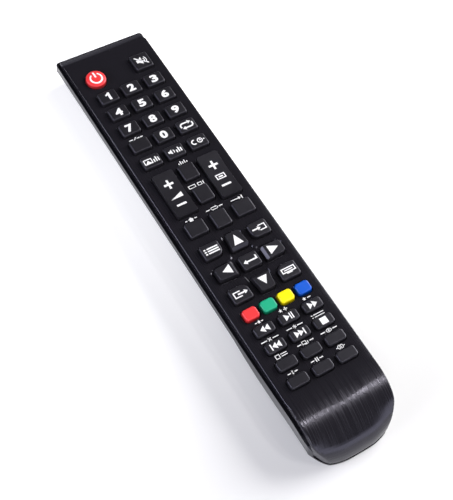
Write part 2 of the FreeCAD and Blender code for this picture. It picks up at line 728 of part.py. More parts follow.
def hull(inset):
    """The lower shell's body, its sloped sides running out towards the nose, moved inwards."""
    full = (BASE_INSET, SHOULDER_HEIGHT, BASE_ROUND, SHOULDER_ROUND)
    nose = (NOSE_BASE_INSET, NOSE_SHOULDER_HEIGHT, NOSE_EDGE_ROUND, NOSE_EDGE_ROUND)
    places = ((-OUTSIDE, nose), (LOWER_NEAR + FLARE_END, nose),
              (LOWER_NEAR + FLARE_START, full), (OUTSIDE, full))
    body = skin([hull_section(inset, y, *sizes) for y, sizes in places])
    far, base = LOWER_FAR - inset, inset
    side = [Vector(-CASE_WIDTH, -OUTSIDE, base), Vector(-CASE_WIDTH, far, base),
            Vector(-CASE_WIDTH, far, CASE_WIDTH), Vector(-CASE_WIDTH, -OUTSIDE, CASE_WIDTH)]
    wire = round_wire(side, [0.0, FAR_BASE_ROUND - inset, 0.0, 0.0])
    profile = Part.Face(wire).extrude(Vector(2 * CASE_WIDTH, 0, 0))
    return body.common(profile).common(lower_plan(inset, 0.0, CASE_WIDTH))


def lower_shell():
    body = hull(0.0)
    lip = body.common(box((-OUTSIDE, OUTSIDE), (LOWER_NEAR, NOSE_START), (0.0, LIP_THICKNESS)))
    outer = body.common(under_face(SKIRT_SHOWN, False)).fuse(lip)
    hollow = hull(LOWER_WALL)
    lap = upper_plan(-LAP_GAP, LIP_THICKNESS, FACE_HEIGHT).cut(
        under_face(SKIRT_SHOWN + SKIRT_LAP + LAP_GAP, False))
    shell = outer.cut([hollow, lap])

    inside = hull(LOWER_WALL / 2)
    bay_y = (BAY_NEAR - BAY_WALL, BAY_FAR + BAY_WALL)
    added = [box((-BAY_HALF - BAY_WALL, BAY_HALF + BAY_WALL), bay_y, (DOOR_TOP, BAY_TOP + BAY_CEILING))]
    ledge_x = DOOR_HALF + LEDGE_REACH
    ledge_y = (DOOR_NEAR - LEDGE_REACH, LATCH_END + LATCH_GAP + LEDGE_REACH)
    added.append(box((-ledge_x, ledge_x), ledge_y, (DOOR_TOP, DOOR_TOP + LEDGE_THICKNESS)))
    for y in rib_places():
        for side in (-1, 1):
            span = sorted((side * (BOARD_HALF - RIB_UNDER_BOARD), side * LOWER_HALF))
            rib = box(span, (y - RIB_THICKNESS / 2, y + RIB_THICKNESS / 2), (0.0, BOARD_BOTTOM - SEAT_GAP))
            added.append(rib.common(inside))
    for x, y in screw_places():
        added.append(rod(SOCKET_RADIUS, x, y, LOWER_WALL / 2, LOWER_WALL + SOCKET_HEIGHT))
    shell = shell.fuse(added)

    cuts = [box((-BAY_HALF, BAY_HALF), (BAY_NEAR, BAY_FAR), (-OVERSHOOT, BAY_TOP))]
    opening = rectangle(2 * (DOOR_HALF + DOOR_GAP), DOOR_FAR - DOOR_NEAR + 2 * DOOR_GAP)
    middle = (0.0, (DOOR_FAR + DOOR_NEAR) / 2)
    cuts.append(prism(opening, [DOOR_CORNER + DOOR_GAP] * 4, -OVERSHOOT, DOOR_TOP + DOOR_GAP / 2, middle))
    for side in (-1, 1):
        span = (side * TAB_OFFSET - TAB_WIDTH / 2 - TAB_GAP, side * TAB_OFFSET + TAB_WIDTH / 2 + TAB_GAP)
        pocket_top = DOOR_TOP + DOOR_GAP + TAB_THICKNESS + TAB_REACH
        pocket_y = (DOOR_NEAR - TAB_REACH - TAB_GAP, BAY_NEAR - BAY_WALL)
        cuts.append(box(span, pocket_y, (LOWER_WALL, pocket_top)))
        cuts.append(box(span, (DOOR_NEAR - DOOR_GAP, BAY_NEAR - BAY_WALL), (-OVERSHOOT, pocket_top)))
    latch_x = (-LATCH_WIDTH / 2 - TAB_GAP, LATCH_WIDTH / 2 + TAB_GAP)
    cuts.append(box(latch_x, (BAY_FAR + BAY_WALL, LATCH_END + LATCH_GAP),
                    (-OVERSHOOT, LATCH_HEIGHT + LATCH_GAP)))
    pad_end = LATCH_END + LATCH_PAD + LATCH_GAP
    cuts.append(box(latch_x, (LATCH_END, pad_end), (-OVERSHOOT, DOOR_TOP + DOOR_GAP)))
    scoop = Part.makeCylinder(THUMB_RADIUS, LATCH_WIDTH + 2 * TAB_GAP,
                              Vector(latch_x[0], pad_end, THUMB_DEPTH - THUMB_RADIUS), Vector(1, 0, 0))
    cuts.append(scoop)
    for x, y in screw_places():
        head_top = SCREW_HEAD_SUNK + SCREW_HEAD_HEIGHT
        cuts.append(rod(SCREW_HEAD_RADIUS + SCREW_HOLE_GAP, x, y, -OVERSHOOT, head_top))
        cuts.append(rod(SCREW_RADIUS + SCREW_HOLE_GAP, x, y, -OVERSHOOT, FACE_HEIGHT))
    window = rectangle(WINDOW_WIDTH + 2 * WINDOW_GAP, WINDOW_HEIGHT + 2 * WINDOW_GAP)
    cuts.append(end_plate(window, WINDOW_CORNER + WINDOW_GAP, LOWER_FAR - 2 * LOWER_WALL,
                          LOWER_FAR + OVERSHOOT))
    skirt_edge = FACE_HEIGHT - SKIRT_SHOWN - SKIRT_LAP
    catch_reach = LOWER_HALF - LOWER_WALL + HOOK_CATCH
    for side in (-1, 1):
        for y in hook_places():
            pocket = sorted((side * (catch_reach - HOOK_CATCH - HOOK_THICKNESS), side * catch_reach))
            cuts.append(box(pocket,
                            (y - HOOK_LENGTH / 2 - HOOK_GAP, y + HOOK_LENGTH / 2 + HOOK_GAP),
                            (skirt_edge - HOOK_DROP - HOOK_GAP,
                             skirt_edge - HOOK_DROP + HOOK_THICKNESS + HOOK_GAP)))
    return shell.cut(cuts).removeSplitter()


def end_plate(corners, corner_radius, near, far):
    """A plate that stands across Y: plan corners taken as x and height about the window's middle."""
    points = [Vector(x, near, LED_HEIGHT + z) for x, z in corners]
    face = Part.Face(chord_wire(points, [corner_radius] * len(points)))
    return face.extrude(Vector(0, far - near, 0))


def infrared_window():
    pane = end_plate(rectangle(WINDOW_WIDTH, WINDOW_HEIGHT), WINDOW_CORNER,
                     LOWER_FAR - LOWER_WALL - WINDOW_FLANGE, LOWER_FAR - SEAT_GAP)
    flange = end_plate(rectangle(WINDOW_WIDTH + 2 * WINDOW_FLANGE, WINDOW_HEIGHT + 2 * WINDOW_FLANGE),
                       WINDOW_CORNER + WINDOW_FLANGE, LOWER_FAR - LOWER_WALL - WINDOW_FLANGE - SEAT_GAP / 2,
                       LOWER_FAR - LOWER_WALL - SEAT_GAP / 2)
    return pane.fuse(flange).removeSplitter()


def infrared_led():
    """A round light-emitting diode lying along Y, its two leads bent up to the board."""
    tip = LOWER_FAR - LOWER_WALL - WINDOW_FLANGE - LED_FROM_WINDOW
    back = tip - LED_LENGTH
    rim = LED_RADIUS + LED_FLANGE
    profile = [(rim, 0.0), (rim, LED_FLANGE_LENGTH), (LED_RADIUS, LED_FLANGE_LENGTH)]
    for step in range(DOME_BANDS):
        angle = math.pi / 2 * step / DOME_BANDS
        profile.append((LED_RADIUS * math.cos(angle), LED_LENGTH - LED_RADIUS * (1 - math.sin(angle))))
    body = turned(profile, Vector(0, back, LED_HEIGHT), Vector(0, 1, 0))
    pieces = []
    for side in (-1, 1):
        x = side * LEAD_PITCH / 2
        across = (x - LEAD_WIDTH / 2, x + LEAD_WIDTH / 2)
        pieces.append(box(across, (back - LEAD_RUN, back + LED_FLANGE_LENGTH / 2),
                          (LED_HEIGHT - LEAD_WIDTH / 2, LED_HEIGHT + LEAD_WIDTH / 2)))
        pieces.append(box(across, (back - LEAD_RUN, back - LEAD_RUN + LEAD_WIDTH),
                          (LED_HEIGHT - LEAD_WIDTH / 2, BOARD_BOTTOM)))
    return body.fuse(pieces).removeSplitter()


def circuit_board():
    near, far = board_ends()
    outline = rectangle(2 * BOARD_HALF, far - near)
    return prism(outline, [BOARD_CORNER] * 4, BOARD_BOTTOM, BOARD_TOP, (0.0, (near + far) / 2), chord_wire)


def board_components():
    """Driver chip with its leads, resonator, storage capacitor and transistor, soldered under the board."""
    def hang(size, x, y, gap=0.0):
        width, length, height = size
        return box((x - width / 2, x + width / 2), (y - length / 2, y + length / 2),
                   (BOARD_BOTTOM - gap - height, BOARD_BOTTOM - gap))
    standoff = CHIP_SIZE[2] / 8
    chip_y = BAY_FAR + CHIP_FROM_BAY
    chip = hang(CHIP_SIZE, CHIP_OFFSET, chip_y, standoff)
    leads = []
    for index in range(CHIP_LEADS):
        x = CHIP_OFFSET + (index - (CHIP_LEADS - 1) / 2) * CHIP_LEAD_PITCH
        reach = CHIP_SIZE[1] / 2 + LEAD_WIDTH
        leads.append(box((x - LEAD_WIDTH / 2, x + LEAD_WIDTH / 2),
                         (chip_y - reach, chip_y + reach),
                         (BOARD_BOTTOM - CHIP_SIZE[2] / 2, BOARD_BOTTOM)))
    chip = chip.fuse(leads).removeSplitter()
    resonator = hang(RESONATOR_SIZE, RESONATOR_OFFSET, BAY_FAR + RESONATOR_FROM_BAY)
    capacitor = rod(CAPACITOR_RADIUS, CAPACITOR_OFFSET, BAY_FAR + CAPACITOR_FROM_BAY,
                    BOARD_BOTTOM - CAPACITOR_HEIGHT, BOARD_BOTTOM)
    transistor = hang(TRANSISTOR_SIZE, TRANSISTOR_OFFSET, board_ends()[1] - TRANSISTOR_FROM_BOARD_END)
    return Part.makeCompound([chip, resonator, capacitor, transistor])


def keypad_mat(keys):
    """The silicone web that lies on the board, with an opening for the foot of every key."""
    near, far = FIELD_NEAR - MAT_MARGIN / 2, FIELD_FAR + MAT_MARGIN / 2
    outline = rectangle(2 * MAT_HALF, far - near)
    base = BOARD_TOP + MAT_REST
    web = prism(outline, [BOARD_CORNER] * 4, base, MAT_TOP, (0.0, (near + far) / 2), chord_wire)
    openings = []
    for key in keys:
        (x_low, x_high), (y_low, y_high) = extent(key)
        along = MAT_GAP if key["shape"] == "rocker" else LIP_REACH + MAT_GAP
        openings.append(box((x_low - MAT_GAP, x_high + MAT_GAP), (y_low - along, y_high + along),
                            (base - OVERSHOOT, MAT_TOP + OVERSHOOT)))
        if key["shape"] == "rocker":
            middle = key["centre"][1]
            reach = LIP_REACH + MAT_GAP
            openings.append(box((x_low - reach, x_high + reach),
                                (middle - ROCKER_EAR / 2 - MAT_GAP, middle + ROCKER_EAR / 2 + MAT_GAP),
                                (base - OVERSHOOT, MAT_TOP + OVERSHOOT)))
    return web.cut(openings)


def cell_ends(side):
    """Near and far end of a cell; the left one meets the near spring, the right one the far spring."""
    if side < 0:
        near = BAY_NEAR + SPRING_START + SPRING_LENGTH + CONTACT_GAP / 2
    else:
        near = BAY_FAR - SPRING_START - SPRING_LENGTH - CONTACT_GAP / 2 - CELL_LENGTH
    return near, near + CELL_LENGTH


def batteries():
    """Two AAA cells side by side, pointing opposite ways."""
    cells = []
    for side in (-1, 1):
        near, far = cell_ends(side)
        can, nub, can_end = CELL_DIAMETER / 2, CELL_NUB_DIAMETER / 2, CELL_LENGTH - CELL_NUB_LENGTH
        profile = [(can, 0.0), (can, can_end), (nub, can_end), (nub, CELL_LENGTH)]
        foot = near if side < 0 else far
        cells.append(turned(profile, Vector(side * CELL_OFFSET, foot, CELL_CENTRE), Vector(0, -side, 0),
                            WIDE_ROUND_SIDES))
    return Part.makeCompound(cells)


def conical_spring(x, wall, direction):
    """Conical wire spring, wide on the plate by a bay wall and narrow on its cell."""
    count = round(SPRING_TURNS * SPRING_STEPS)
    rise = (SPRING_LENGTH - SPRING_WIRE) / count
    taper = (SPRING_WIDE - SPRING_NARROW) / count
    sections = []
    for step in range(count + 1):
        angle = 2 * math.pi * step / SPRING_STEPS
        outwards = Vector(math.cos(angle), 0, math.sin(angle))
        y = wall + direction * (SPRING_START + SPRING_WIRE / 2 + rise * step)
        centre = Vector(x, y, CELL_CENTRE) + outwards * (SPRING_WIDE - taper * step)
        ring = []
        for facet in range(SPRING_FACETS):
            turn = 2 * math.pi * facet / SPRING_FACETS
            offset = outwards * math.cos(turn) + Vector(0, math.sin(turn), 0)
            ring.append(centre + offset * (SPRING_WIRE / 2))
        sections.append(ring)
    return skin(sections)


def battery_contacts():
    """Near bridge plate and two far plates, two of them carrying a conical spring."""
    low = CELL_CENTRE - PLATE_HEIGHT / 2
    high = CELL_CENTRE + PLATE_HEIGHT / 2
    near = (BAY_NEAR + CONTACT_GAP / 2, BAY_NEAR + CONTACT_GAP / 2 + PLATE_THICKNESS)
    far = (BAY_FAR - CONTACT_GAP / 2 - PLATE_THICKNESS, BAY_FAR - CONTACT_GAP / 2)
    reach = CELL_OFFSET + PLATE_WIDTH / 2
    bridge = box((-reach, reach), near, (low, high))
    left = box((-reach, -CELL_OFFSET + PLATE_WIDTH / 2), far, (low, high))
    right = box((CELL_OFFSET - PLATE_WIDTH / 2, reach), far, (low, high))
    bridge = bridge.fuse(conical_spring(-CELL_OFFSET, BAY_NEAR, 1))
    right = right.fuse(conical_spring(CELL_OFFSET, BAY_FAR, -1))
    return Part.makeCompound([bridge, left, right])


def battery_door():
    """The door plate with its two hooks, the sprung latch leaf and the grip ridges."""
    outline = rectangle(2 * DOOR_HALF, DOOR_FAR - DOOR_NEAR)
    middle = (0.0, (DOOR_FAR + DOOR_NEAR) / 2)
    door = prism(outline, [DOOR_CORNER] * 4, DOOR_RECESS, DOOR_TOP, middle)
    latch_x = (-LATCH_WIDTH / 2, LATCH_WIDTH / 2)
    notch = box((latch_x[0] - TAB_GAP, latch_x[1] + TAB_GAP),
                (LATCH_START + LATCH_LEAF, DOOR_FAR + OVERSHOOT),
                (-OVERSHOOT, DOOR_TOP + OVERSHOOT))
    door = door.cut(notch)
    added = []
    tab_low = LOWER_WALL + SEAT_GAP
    for side in (-1, 1):
        span = (side * TAB_OFFSET - TAB_WIDTH / 2, side * TAB_OFFSET + TAB_WIDTH / 2)
        added.append(box(span, (DOOR_NEAR - TAB_REACH, DOOR_NEAR + TAB_REACH),
                         (tab_low, tab_low + TAB_THICKNESS)))
        added.append(box(span, (DOOR_NEAR, DOOR_NEAR + TAB_REACH), (DOOR_RECESS, tab_low + TAB_THICKNESS)))
    bend = LATCH_SPAN / 2
    arch = LATCH_HEIGHT - bend
    y1, y2 = LATCH_START, LATCH_END
    centre = (y1 + y2) / 2
    inner = bend - LATCH_LEAF
    edges = [
        Part.makeLine(Vector(0, y1, DOOR_RECESS), Vector(0, y1, arch)),
        Part.Arc(Vector(0, y1, arch), Vector(0, centre, LATCH_HEIGHT), Vector(0, y2, arch)).toShape(),
        Part.makeLine(Vector(0, y2, arch), Vector(0, y2, DOOR_RECESS)),
        Part.makeLine(Vector(0, y2, DOOR_RECESS), Vector(0, y2 - LATCH_LEAF, DOOR_RECESS)),
        Part.makeLine(Vector(0, y2 - LATCH_LEAF, DOOR_RECESS), Vector(0, y2 - LATCH_LEAF, arch)),
        Part.Arc(Vector(0, y2 - LATCH_LEAF, arch), Vector(0, centre, arch + inner),
                 Vector(0, y1 + LATCH_LEAF, arch)).toShape(),
        Part.makeLine(Vector(0, y1 + LATCH_LEAF, arch), Vector(0, y1 + LATCH_LEAF, DOOR_RECESS)),
        Part.makeLine(Vector(0, y1 + LATCH_LEAF, DOOR_RECESS), Vector(0, y1, DOOR_RECESS)),
    ]
    leaf = Part.Face(Part.Wire(edges))
    leaf.translate(Vector(latch_x[0], 0, 0))
    added.append(leaf.extrude(Vector(LATCH_WIDTH, 0, 0)))
    added.append(box(latch_x, (y2 - LATCH_LEAF / 2, y2 + LATCH_PAD), (DOOR_RECESS, DOOR_TOP - DOOR_RECESS)))
    door = door.fuse(added)
    grooves = []
    first = LATCH_START - 3 * GRIP_PITCH
    for index in range(GRIP_COUNT):
        y = first - index * GRIP_PITCH
        grooves.append(box((-GRIP_WIDTH / 2, GRIP_WIDTH / 2), (y - GRIP_DEPTH, y + GRIP_DEPTH),
                           (0.0, DOOR_RECESS + GRIP_DEPTH)))
    return door.cut(grooves).removeSplitter()


def case_screws():
    """Self-tapping screws with sunk heads."""
    head_top = SCREW_HEAD_SUNK + SCREW_HEAD_HEIGHT - SEAT_GAP / 2
    profile = [(SCREW_HEAD_RADIUS, SCREW_HEAD_SUNK), (SCREW_HEAD_RADIUS, head_top),
               (SCREW_RADIUS, head_top), (SCREW_RADIUS, head_top + SCREW_LENGTH)]
    return Part.makeCompound([turned(profile, Vector(x, y, 0), Vector(0, 0, 1)) for x, y in screw_places()])


def write(name, shape):
    shape.exportStep("parts/" + name + ".step")
    print(name, round(shape.Volume, 1), shape.isValid(), len(shape.Solids))


os.makedirs("parts", exist_ok=True)
all_keys = key_list()
write("upper_shell", upper_shell(all_keys))
write("lower_shell", lower_shell())
for one_key in all_keys:
    write(one_key["name"], key_solid(one_key))
write("keypad_mat", keypad_mat(all_keys))
write("circuit_board", circuit_board())
write("board_components", board_components())
write("infrared_led", infrared_led())
write("infrared_window", infrared_window())
write("batteries", batteries())
write("battery_contacts", battery_contacts())
write("battery_door", battery_door())
write("case_screws", case_screws())
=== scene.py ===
import json
import math

import bmesh
import bpy
from mathutils import Matrix, Vector

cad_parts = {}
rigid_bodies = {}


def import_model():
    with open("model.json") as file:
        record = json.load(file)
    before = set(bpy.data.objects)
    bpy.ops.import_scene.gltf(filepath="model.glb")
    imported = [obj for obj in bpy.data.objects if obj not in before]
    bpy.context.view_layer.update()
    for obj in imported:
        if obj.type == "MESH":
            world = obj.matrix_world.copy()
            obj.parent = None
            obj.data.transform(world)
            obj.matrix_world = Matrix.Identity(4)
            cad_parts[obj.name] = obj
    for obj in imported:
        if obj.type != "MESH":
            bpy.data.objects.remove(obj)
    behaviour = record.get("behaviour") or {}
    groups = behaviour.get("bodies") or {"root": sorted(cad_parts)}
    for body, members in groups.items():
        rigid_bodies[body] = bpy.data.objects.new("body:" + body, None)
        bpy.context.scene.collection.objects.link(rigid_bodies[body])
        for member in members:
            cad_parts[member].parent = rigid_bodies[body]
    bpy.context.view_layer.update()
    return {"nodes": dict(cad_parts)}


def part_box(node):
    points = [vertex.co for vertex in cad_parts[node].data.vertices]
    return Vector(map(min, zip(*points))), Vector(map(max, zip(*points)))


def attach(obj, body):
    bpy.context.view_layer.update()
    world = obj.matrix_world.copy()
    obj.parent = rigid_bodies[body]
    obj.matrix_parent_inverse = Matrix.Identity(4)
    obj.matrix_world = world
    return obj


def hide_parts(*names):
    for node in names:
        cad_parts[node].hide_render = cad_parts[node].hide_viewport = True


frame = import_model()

# Upper shell: the black face that the keys stand in, moulded in ABS with a fine hairline finish along its
# length. It curves down at the nose, is bevelled at the infrared end and hooks into the back case.
MM = 0.001
WELD, CUT_WELD = 0.00002, 0.000001
LEVEL_TURN = math.radians(0.6)
SHARP_TURN = math.radians(50)
SHELL_SMOOTH = math.radians(42)
SHELL_EDGE = 0.42
SHELL_EDGE_TURN = math.radians(9)
HOLE_EDGE = 0.1
HOLES_INSIDE = 2.0
HAIRLINES_PER_METRE = (2800, 36, 36)
BANDS_PER_METRE = (1500, 12, 12)
HAIRLINE_SPREAD = (0.35, 0.65)
HAIRLINES_SHOW = (-0.094, -0.082)
STREAKS_PER_METRE = (1400, 12, 12)
STREAK_SPREAD = (0.42, 0.56)
STREAKS_SHOW = (-0.109, -0.103)
PLASTIC = {"Specular_IOR_Level": 0.5, "Specular_Tint": (0.86, 0.85, 1.0, 1.0)}
SHELL_BLACK = (0.0120, 0.0112, 0.0142)


def operators(operation):
    """An operator of a signal and its reflected form, each of which adds a Math node."""
    return (lambda signal, other: signal.finish.maths(operation, signal, other),
            lambda signal, other: signal.finish.maths(operation, other, signal))


class Signal:
    """An output of a node, which sums can be written with; each sum adds its Math node."""

    __add__, __radd__ = operators("ADD")
    __sub__, __rsub__ = operators("SUBTRACT")
    __mul__, __rmul__ = operators("MULTIPLY")
    __truediv__, __rtruediv__ = operators("DIVIDE")

    def __init__(self, finish, socket):
        self.finish = finish
        self.socket = socket

    def above(self, edge):
        return self.finish.maths("GREATER_THAN", self, edge)

    def between(self, low, high):
        """0 under low, 1 over high and a smooth step from one to the other."""
        return self.finish.node("ShaderNodeMapRange", {0: self, 1: low, 2: high, 3: 0.0, 4: 1.0},
                                interpolation_type="SMOOTHSTEP")


class Finish:
    """A surface finish: one material, or the world, with the shader that its signals feed."""

    def __init__(self, name, world=False):
        self.material = (bpy.data.worlds if world else bpy.data.materials).new(name)
        self.material.use_nodes = True
        self.tree = self.material.node_tree
        self.shader = self.tree.nodes["Background" if world else "Principled BSDF"]

    def put(self, socket, value):
        if isinstance(value, Signal):
            self.tree.links.new(value.socket, socket)
        elif isinstance(value, list):
            for part in value:
                self.tree.links.new(part.socket, socket)
        elif hasattr(value, "__len__") and socket.type == "RGBA" and len(value) == 3:
            socket.default_value = (*value, 1.0)
        else:
            socket.default_value = value

    def node(self, kind, inputs, output=0, **settings):
        """Adds a node with its inputs and settings, and returns one of its outputs."""
        made = self.tree.nodes.new(kind)
        for name, value in settings.items():
            setattr(made, name, value)
        for name, value in inputs.items():
            self.put(made.inputs[name], value)
        return Signal(self, made.outputs[output])

    def maths(self, operation, first, second):
        return self.node("ShaderNodeMath", {0: first, 1: second}, operation=operation)

    def place(self, scale=1.0):
        """Object coordinates, in metres, stretched by one scale or by one for each axis."""
        here = self.node("ShaderNodeTexCoord", {}, "Object")
        steps = scale if isinstance(scale, tuple) else (scale,) * 3
        return self.node("ShaderNodeMapping", {"Vector": here, "Scale": steps})

    def axis(self, name):
        """One of the object coordinates."""
        return self.node("ShaderNodeSeparateXYZ", {"Vector": self.place()}, name)

    def noise(self, scale, detail=2.0, roughness=0.5):
        """Noise from 0 to 1 with so many features to a metre, one number or one for each axis."""
        return self.node("ShaderNodeTexNoise", {"Vector": self.place(scale), "Scale": 1.0, "Detail": detail,
                                                "Roughness": roughness})

    def blend(self, share, first, second):
        """One colour going over to another."""
        return self.node("ShaderNodeMix", {0: share, 6: first, 7: second}, 2, data_type="RGBA")

    def relief(self, height, depth, strength):
        """Feeds the shader's normal from a height signal; depth is in metres."""
        bump = self.node("ShaderNodeBump", {"Strength": strength, "Distance": depth, "Height": height})
        self.put(self.shader.inputs["Normal"], bump)

    def set(self, **values):
        """Sets the shader's own sockets, named with underscores for spaces."""
        for name, value in values.items():
            self.put(self.shader.inputs[name.replace("_", " ")], value)


def merged(node):
    """Mesh of a CAD node with its loose triangles joined and its flat faces made whole."""
    work = bmesh.new()
    work.from_mesh(frame["nodes"][node].data)
    bmesh.ops.remove_doubles(work, verts=work.verts, dist=WELD)
    bmesh.ops.dissolve_limit(work, angle_limit=LEVEL_TURN, verts=work.verts, edges=work.edges)
    return work


def bevelled(work, width, angle, where=None, segments=2):
    """Rounds the edges that are sharper than angle, all of them or those that where picks; width in metres."""
    sharp = [edge for edge in work.edges if len(edge.link_faces) == 2 and edge.calc_face_angle() > angle
             and (where is None or where(edge))]
    bmesh.ops.bevel(work, geom=sharp, offset=width, offset_type="OFFSET", segments=segments, profile=0.5,
                    affect="EDGES", clamp_overlap=True)


def placed(name, data):
    """A new object in the scene, at the origin."""
    made = bpy.data.objects.new(name, data)
    bpy.context.scene.collection.objects.link(made)
    return made


def whole_mesh(made):
    """A plain mesh of what an object's modifiers or letters come to."""
    return bpy.data.meshes.new_from_object(made.evaluated_get(bpy.context.evaluated_depsgraph_get()))


def piece(name, work, finishes, smooth=SHELL_SMOOTH):
    """An object from a worked mesh: smooth up to an angle, with large faces kept flat."""
    mesh = bpy.data.meshes.new(name)
    work.to_mesh(mesh)
    work.free()
    for polygon in mesh.polygons:
        polygon.use_smooth = True
    mesh.set_sharp_from_angle(angle=smooth)
    for finish in finishes:
        mesh.materials.append(finish.material)
    made = placed(name, mesh)
    made.modifiers.new("weighting", "WEIGHTED_NORMAL").keep_sharp = True
    made.data = whole_mesh(made)
    made.modifiers.clear()
    made.data.name = name
    return made


def fitted(made, body, node, slot_name):
    """Lets a piece ride its body in the place of its CAD node, which it hides; slot_name is not used."""
    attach(made, body)
    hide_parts(node)


SHELL_HALF = 21.6
SHELL_NEAR, SHELL_FAR = -112.2, 111.8
NEAR_CORNER, FAR_CORNER, SHARP_CORNER = 9.2, 2.8, 0.8
RIM_WITHIN = 0.1
UPRIGHT = 0.02
NOSE_BOW, NOSE_BOW_AT, NOSE_BOW_RUN = 0.6, 14.0, (98.0, 110.0)
NOSE_REACH, NOSE_REACH_RUN = 0.55, (104.0, 111.5)
UNDERCUT_HEIGHT = 18.0
UNDERCUT_SIDE, UNDERCUT_ACROSS, UNDERCUT_RUN = 3.2, (14.0, 21.8), (49.0, 104.0)
UNDERCUT_CORNER, UNDERCUT_CORNER_ACROSS = 2.2, (6.0, 20.0)
SIDE_ROWS, SIDE_CUTS_FROM = range(-90, -40, 6), -40.0
NOSE_CUTS_FROM = -96.0
NOSE_COLUMN, NOSE_LAYER, NOSE_ROW, NOSE_FIRST_ROW = 1.6, 1.4, 1.3, -110.2
ANY_SLOPE, WALL_SLOPE = 1.1, 0.2


def share_of(value, low, high):
    return min(1.0, max(0.0, (value - low) / (high - low)))


def eased(value, low, high):
    share = share_of(value, low, high)
    return share * share * (3 - 2 * share)


def from_rim(point, out=(0.0, 0.0, 0.0)):
    """How far inside the shell's plan a point lies; out widens it at the sides, the nose and the far end."""
    x, y, z = point / MM
    radius = (FAR_CORNER if y > 0 else NEAR_CORNER) + out[0]
    end = SHELL_FAR + out[2] - y if y > 0 else y - SHELL_NEAR + out[1]
    side = SHELL_HALF + out[0] - abs(x)
    if side < radius and end < radius:
        return radius - math.hypot(radius - side, radius - end)
    return min(side, end)


def on_rim(edge, out=(0.0, 0.0, 0.0)):
    return all(abs(from_rim(vert.co, out)) < RIM_WITHIN and vert.co.z > 0 for vert in edge.verts)


def is_turn(edge):
    """Whether an edge parts an upright face from a sloping or level one that looks up."""
    rises = [face.normal.z for face in edge.link_faces]
    return (abs(rises[0]) < UPRIGHT) != (abs(rises[1]) < UPRIGHT) and max(rises) > UPRIGHT


def bowed(work):
    """Rounds the nose end a little in plan, and draws the sides in under its corners. The faces are cut up
    first so that they can bend, at the nose only the upright ones crosswise."""
    def nearest(face):
        return min(vert.co.y for vert in face.verts) / MM

    cuts = [((0, y, 0), (0, 1, 0), SIDE_CUTS_FROM, ANY_SLOPE) for y in SIDE_ROWS]
    cuts += [((NOSE_COLUMN * column, 0, 0), (1, 0, 0), NOSE_CUTS_FROM, ANY_SLOPE) for column in range(-13, 14)]
    cuts += [((0, 0, NOSE_LAYER * layer), (0, 0, 1), NOSE_CUTS_FROM, WALL_SLOPE) for layer in range(1, 12)]
    cuts += [((0, NOSE_FIRST_ROW + NOSE_ROW * row, 0), (0, 1, 0), NOSE_CUTS_FROM, WALL_SLOPE) for row in range(11)]
    for point, normal, reach, slope in cuts:
        faces = [face for face in work.faces if abs(face.normal.z) < slope and nearest(face) < reach]
        sides = {item for face in faces for item in (*face.verts, *face.edges)}
        bmesh.ops.bisect_plane(work, geom=list(sides) + faces, plane_co=Vector(point) * MM, plane_no=normal,
                               dist=CUT_WELD)
    bmesh.ops.triangulate(work, faces=[face for face in work.faces if len(face.verts) > 4
                                       and nearest(face) < SIDE_CUTS_FROM])
    for vert in work.verts:
        x, y, z = vert.co / MM
        under = max(0.0, 1 - z / UNDERCUT_HEIGHT)
        trim = UNDERCUT_SIDE * under * share_of(abs(x), *UNDERCUT_ACROSS) * eased(-y, *UNDERCUT_RUN)
        bow = (NOSE_BOW * (x / NOSE_BOW_AT) ** 2
               + UNDERCUT_CORNER * under * eased(abs(x), *UNDERCUT_CORNER_ACROSS))
        vert.co.x -= math.copysign(trim, x) * MM
        vert.co.y += bow * eased(-y, *NOSE_BOW_RUN) * MM
    return work


def squared(work, side, end, radius, sharp):
    """Draws the two far corners of a plan out from one radius to a sharper one."""
    for vert in work.verts:
        x, y = vert.co.x / MM, vert.co.y / MM
        across, ahead = abs(x) - (side - radius), y - (end - radius)
        if across > 0 and ahead > 0:
            turn = math.atan2(ahead, across)
            straight = radius - sharp
            if min(math.tan(turn), 1 / math.tan(turn)) <= straight / radius:
                reach = radius / max(math.cos(turn), math.sin(turn))
            else:
                reach = (straight * (math.cos(turn) + math.sin(turn))
                         + math.sqrt(max(0.0, sharp ** 2 - straight ** 2 * (1 - math.sin(2 * turn)))))
            grow = reach / radius
            vert.co.x = math.copysign(side - radius + across * grow, x) * MM
            vert.co.y = (end - radius + ahead * grow) * MM
    return work


hairline = Finish("black_hairline")
fine = hairline.noise(HAIRLINES_PER_METRE, 3.0, 0.6)
coarse = hairline.noise(BANDS_PER_METRE, 2.0)
strands = fine.between(*HAIRLINE_SPREAD) * 0.6 + coarse.between(*HAIRLINE_SPREAD) * 0.4
along_shell = hairline.axis("Y")
bend = 1 - along_shell.between(*HAIRLINES_SHOW)
streaks = hairline.noise(STREAKS_PER_METRE, 1.0)
dull = streaks.between(*STREAK_SPREAD) * bend * along_shell.between(*STREAKS_SHOW)
hairline.relief(strands * bend, 0.00002, 0.4)
hairline.set(Base_Color=hairline.blend(strands, SHELL_BLACK, (0.0135, 0.0126, 0.0158)),
             Roughness=0.13 + strands * (0.02 + bend * 0.09) + dull * 0.08, **PLASTIC)

shell = merged("upper_shell")
bevelled(shell, SHELL_EDGE * MM, SHELL_EDGE_TURN, lambda edge: on_rim(edge) and is_turn(edge), 1)
bevelled(shell, HOLE_EDGE * MM, SHARP_TURN,
         lambda edge: min(from_rim(vert.co) for vert in edge.verts) > HOLES_INSIDE)
for vert in shell.verts:
    vert.co.y -= NOSE_REACH * eased(-vert.co.y / MM, *NOSE_REACH_RUN) * MM
shell = squared(bowed(shell), SHELL_HALF, SHELL_FAR, FAR_CORNER, SHARP_CORNER)
fitted(piece("upper_shell_face", shell, [hairline]), "case", "upper_shell", "black_hairline")

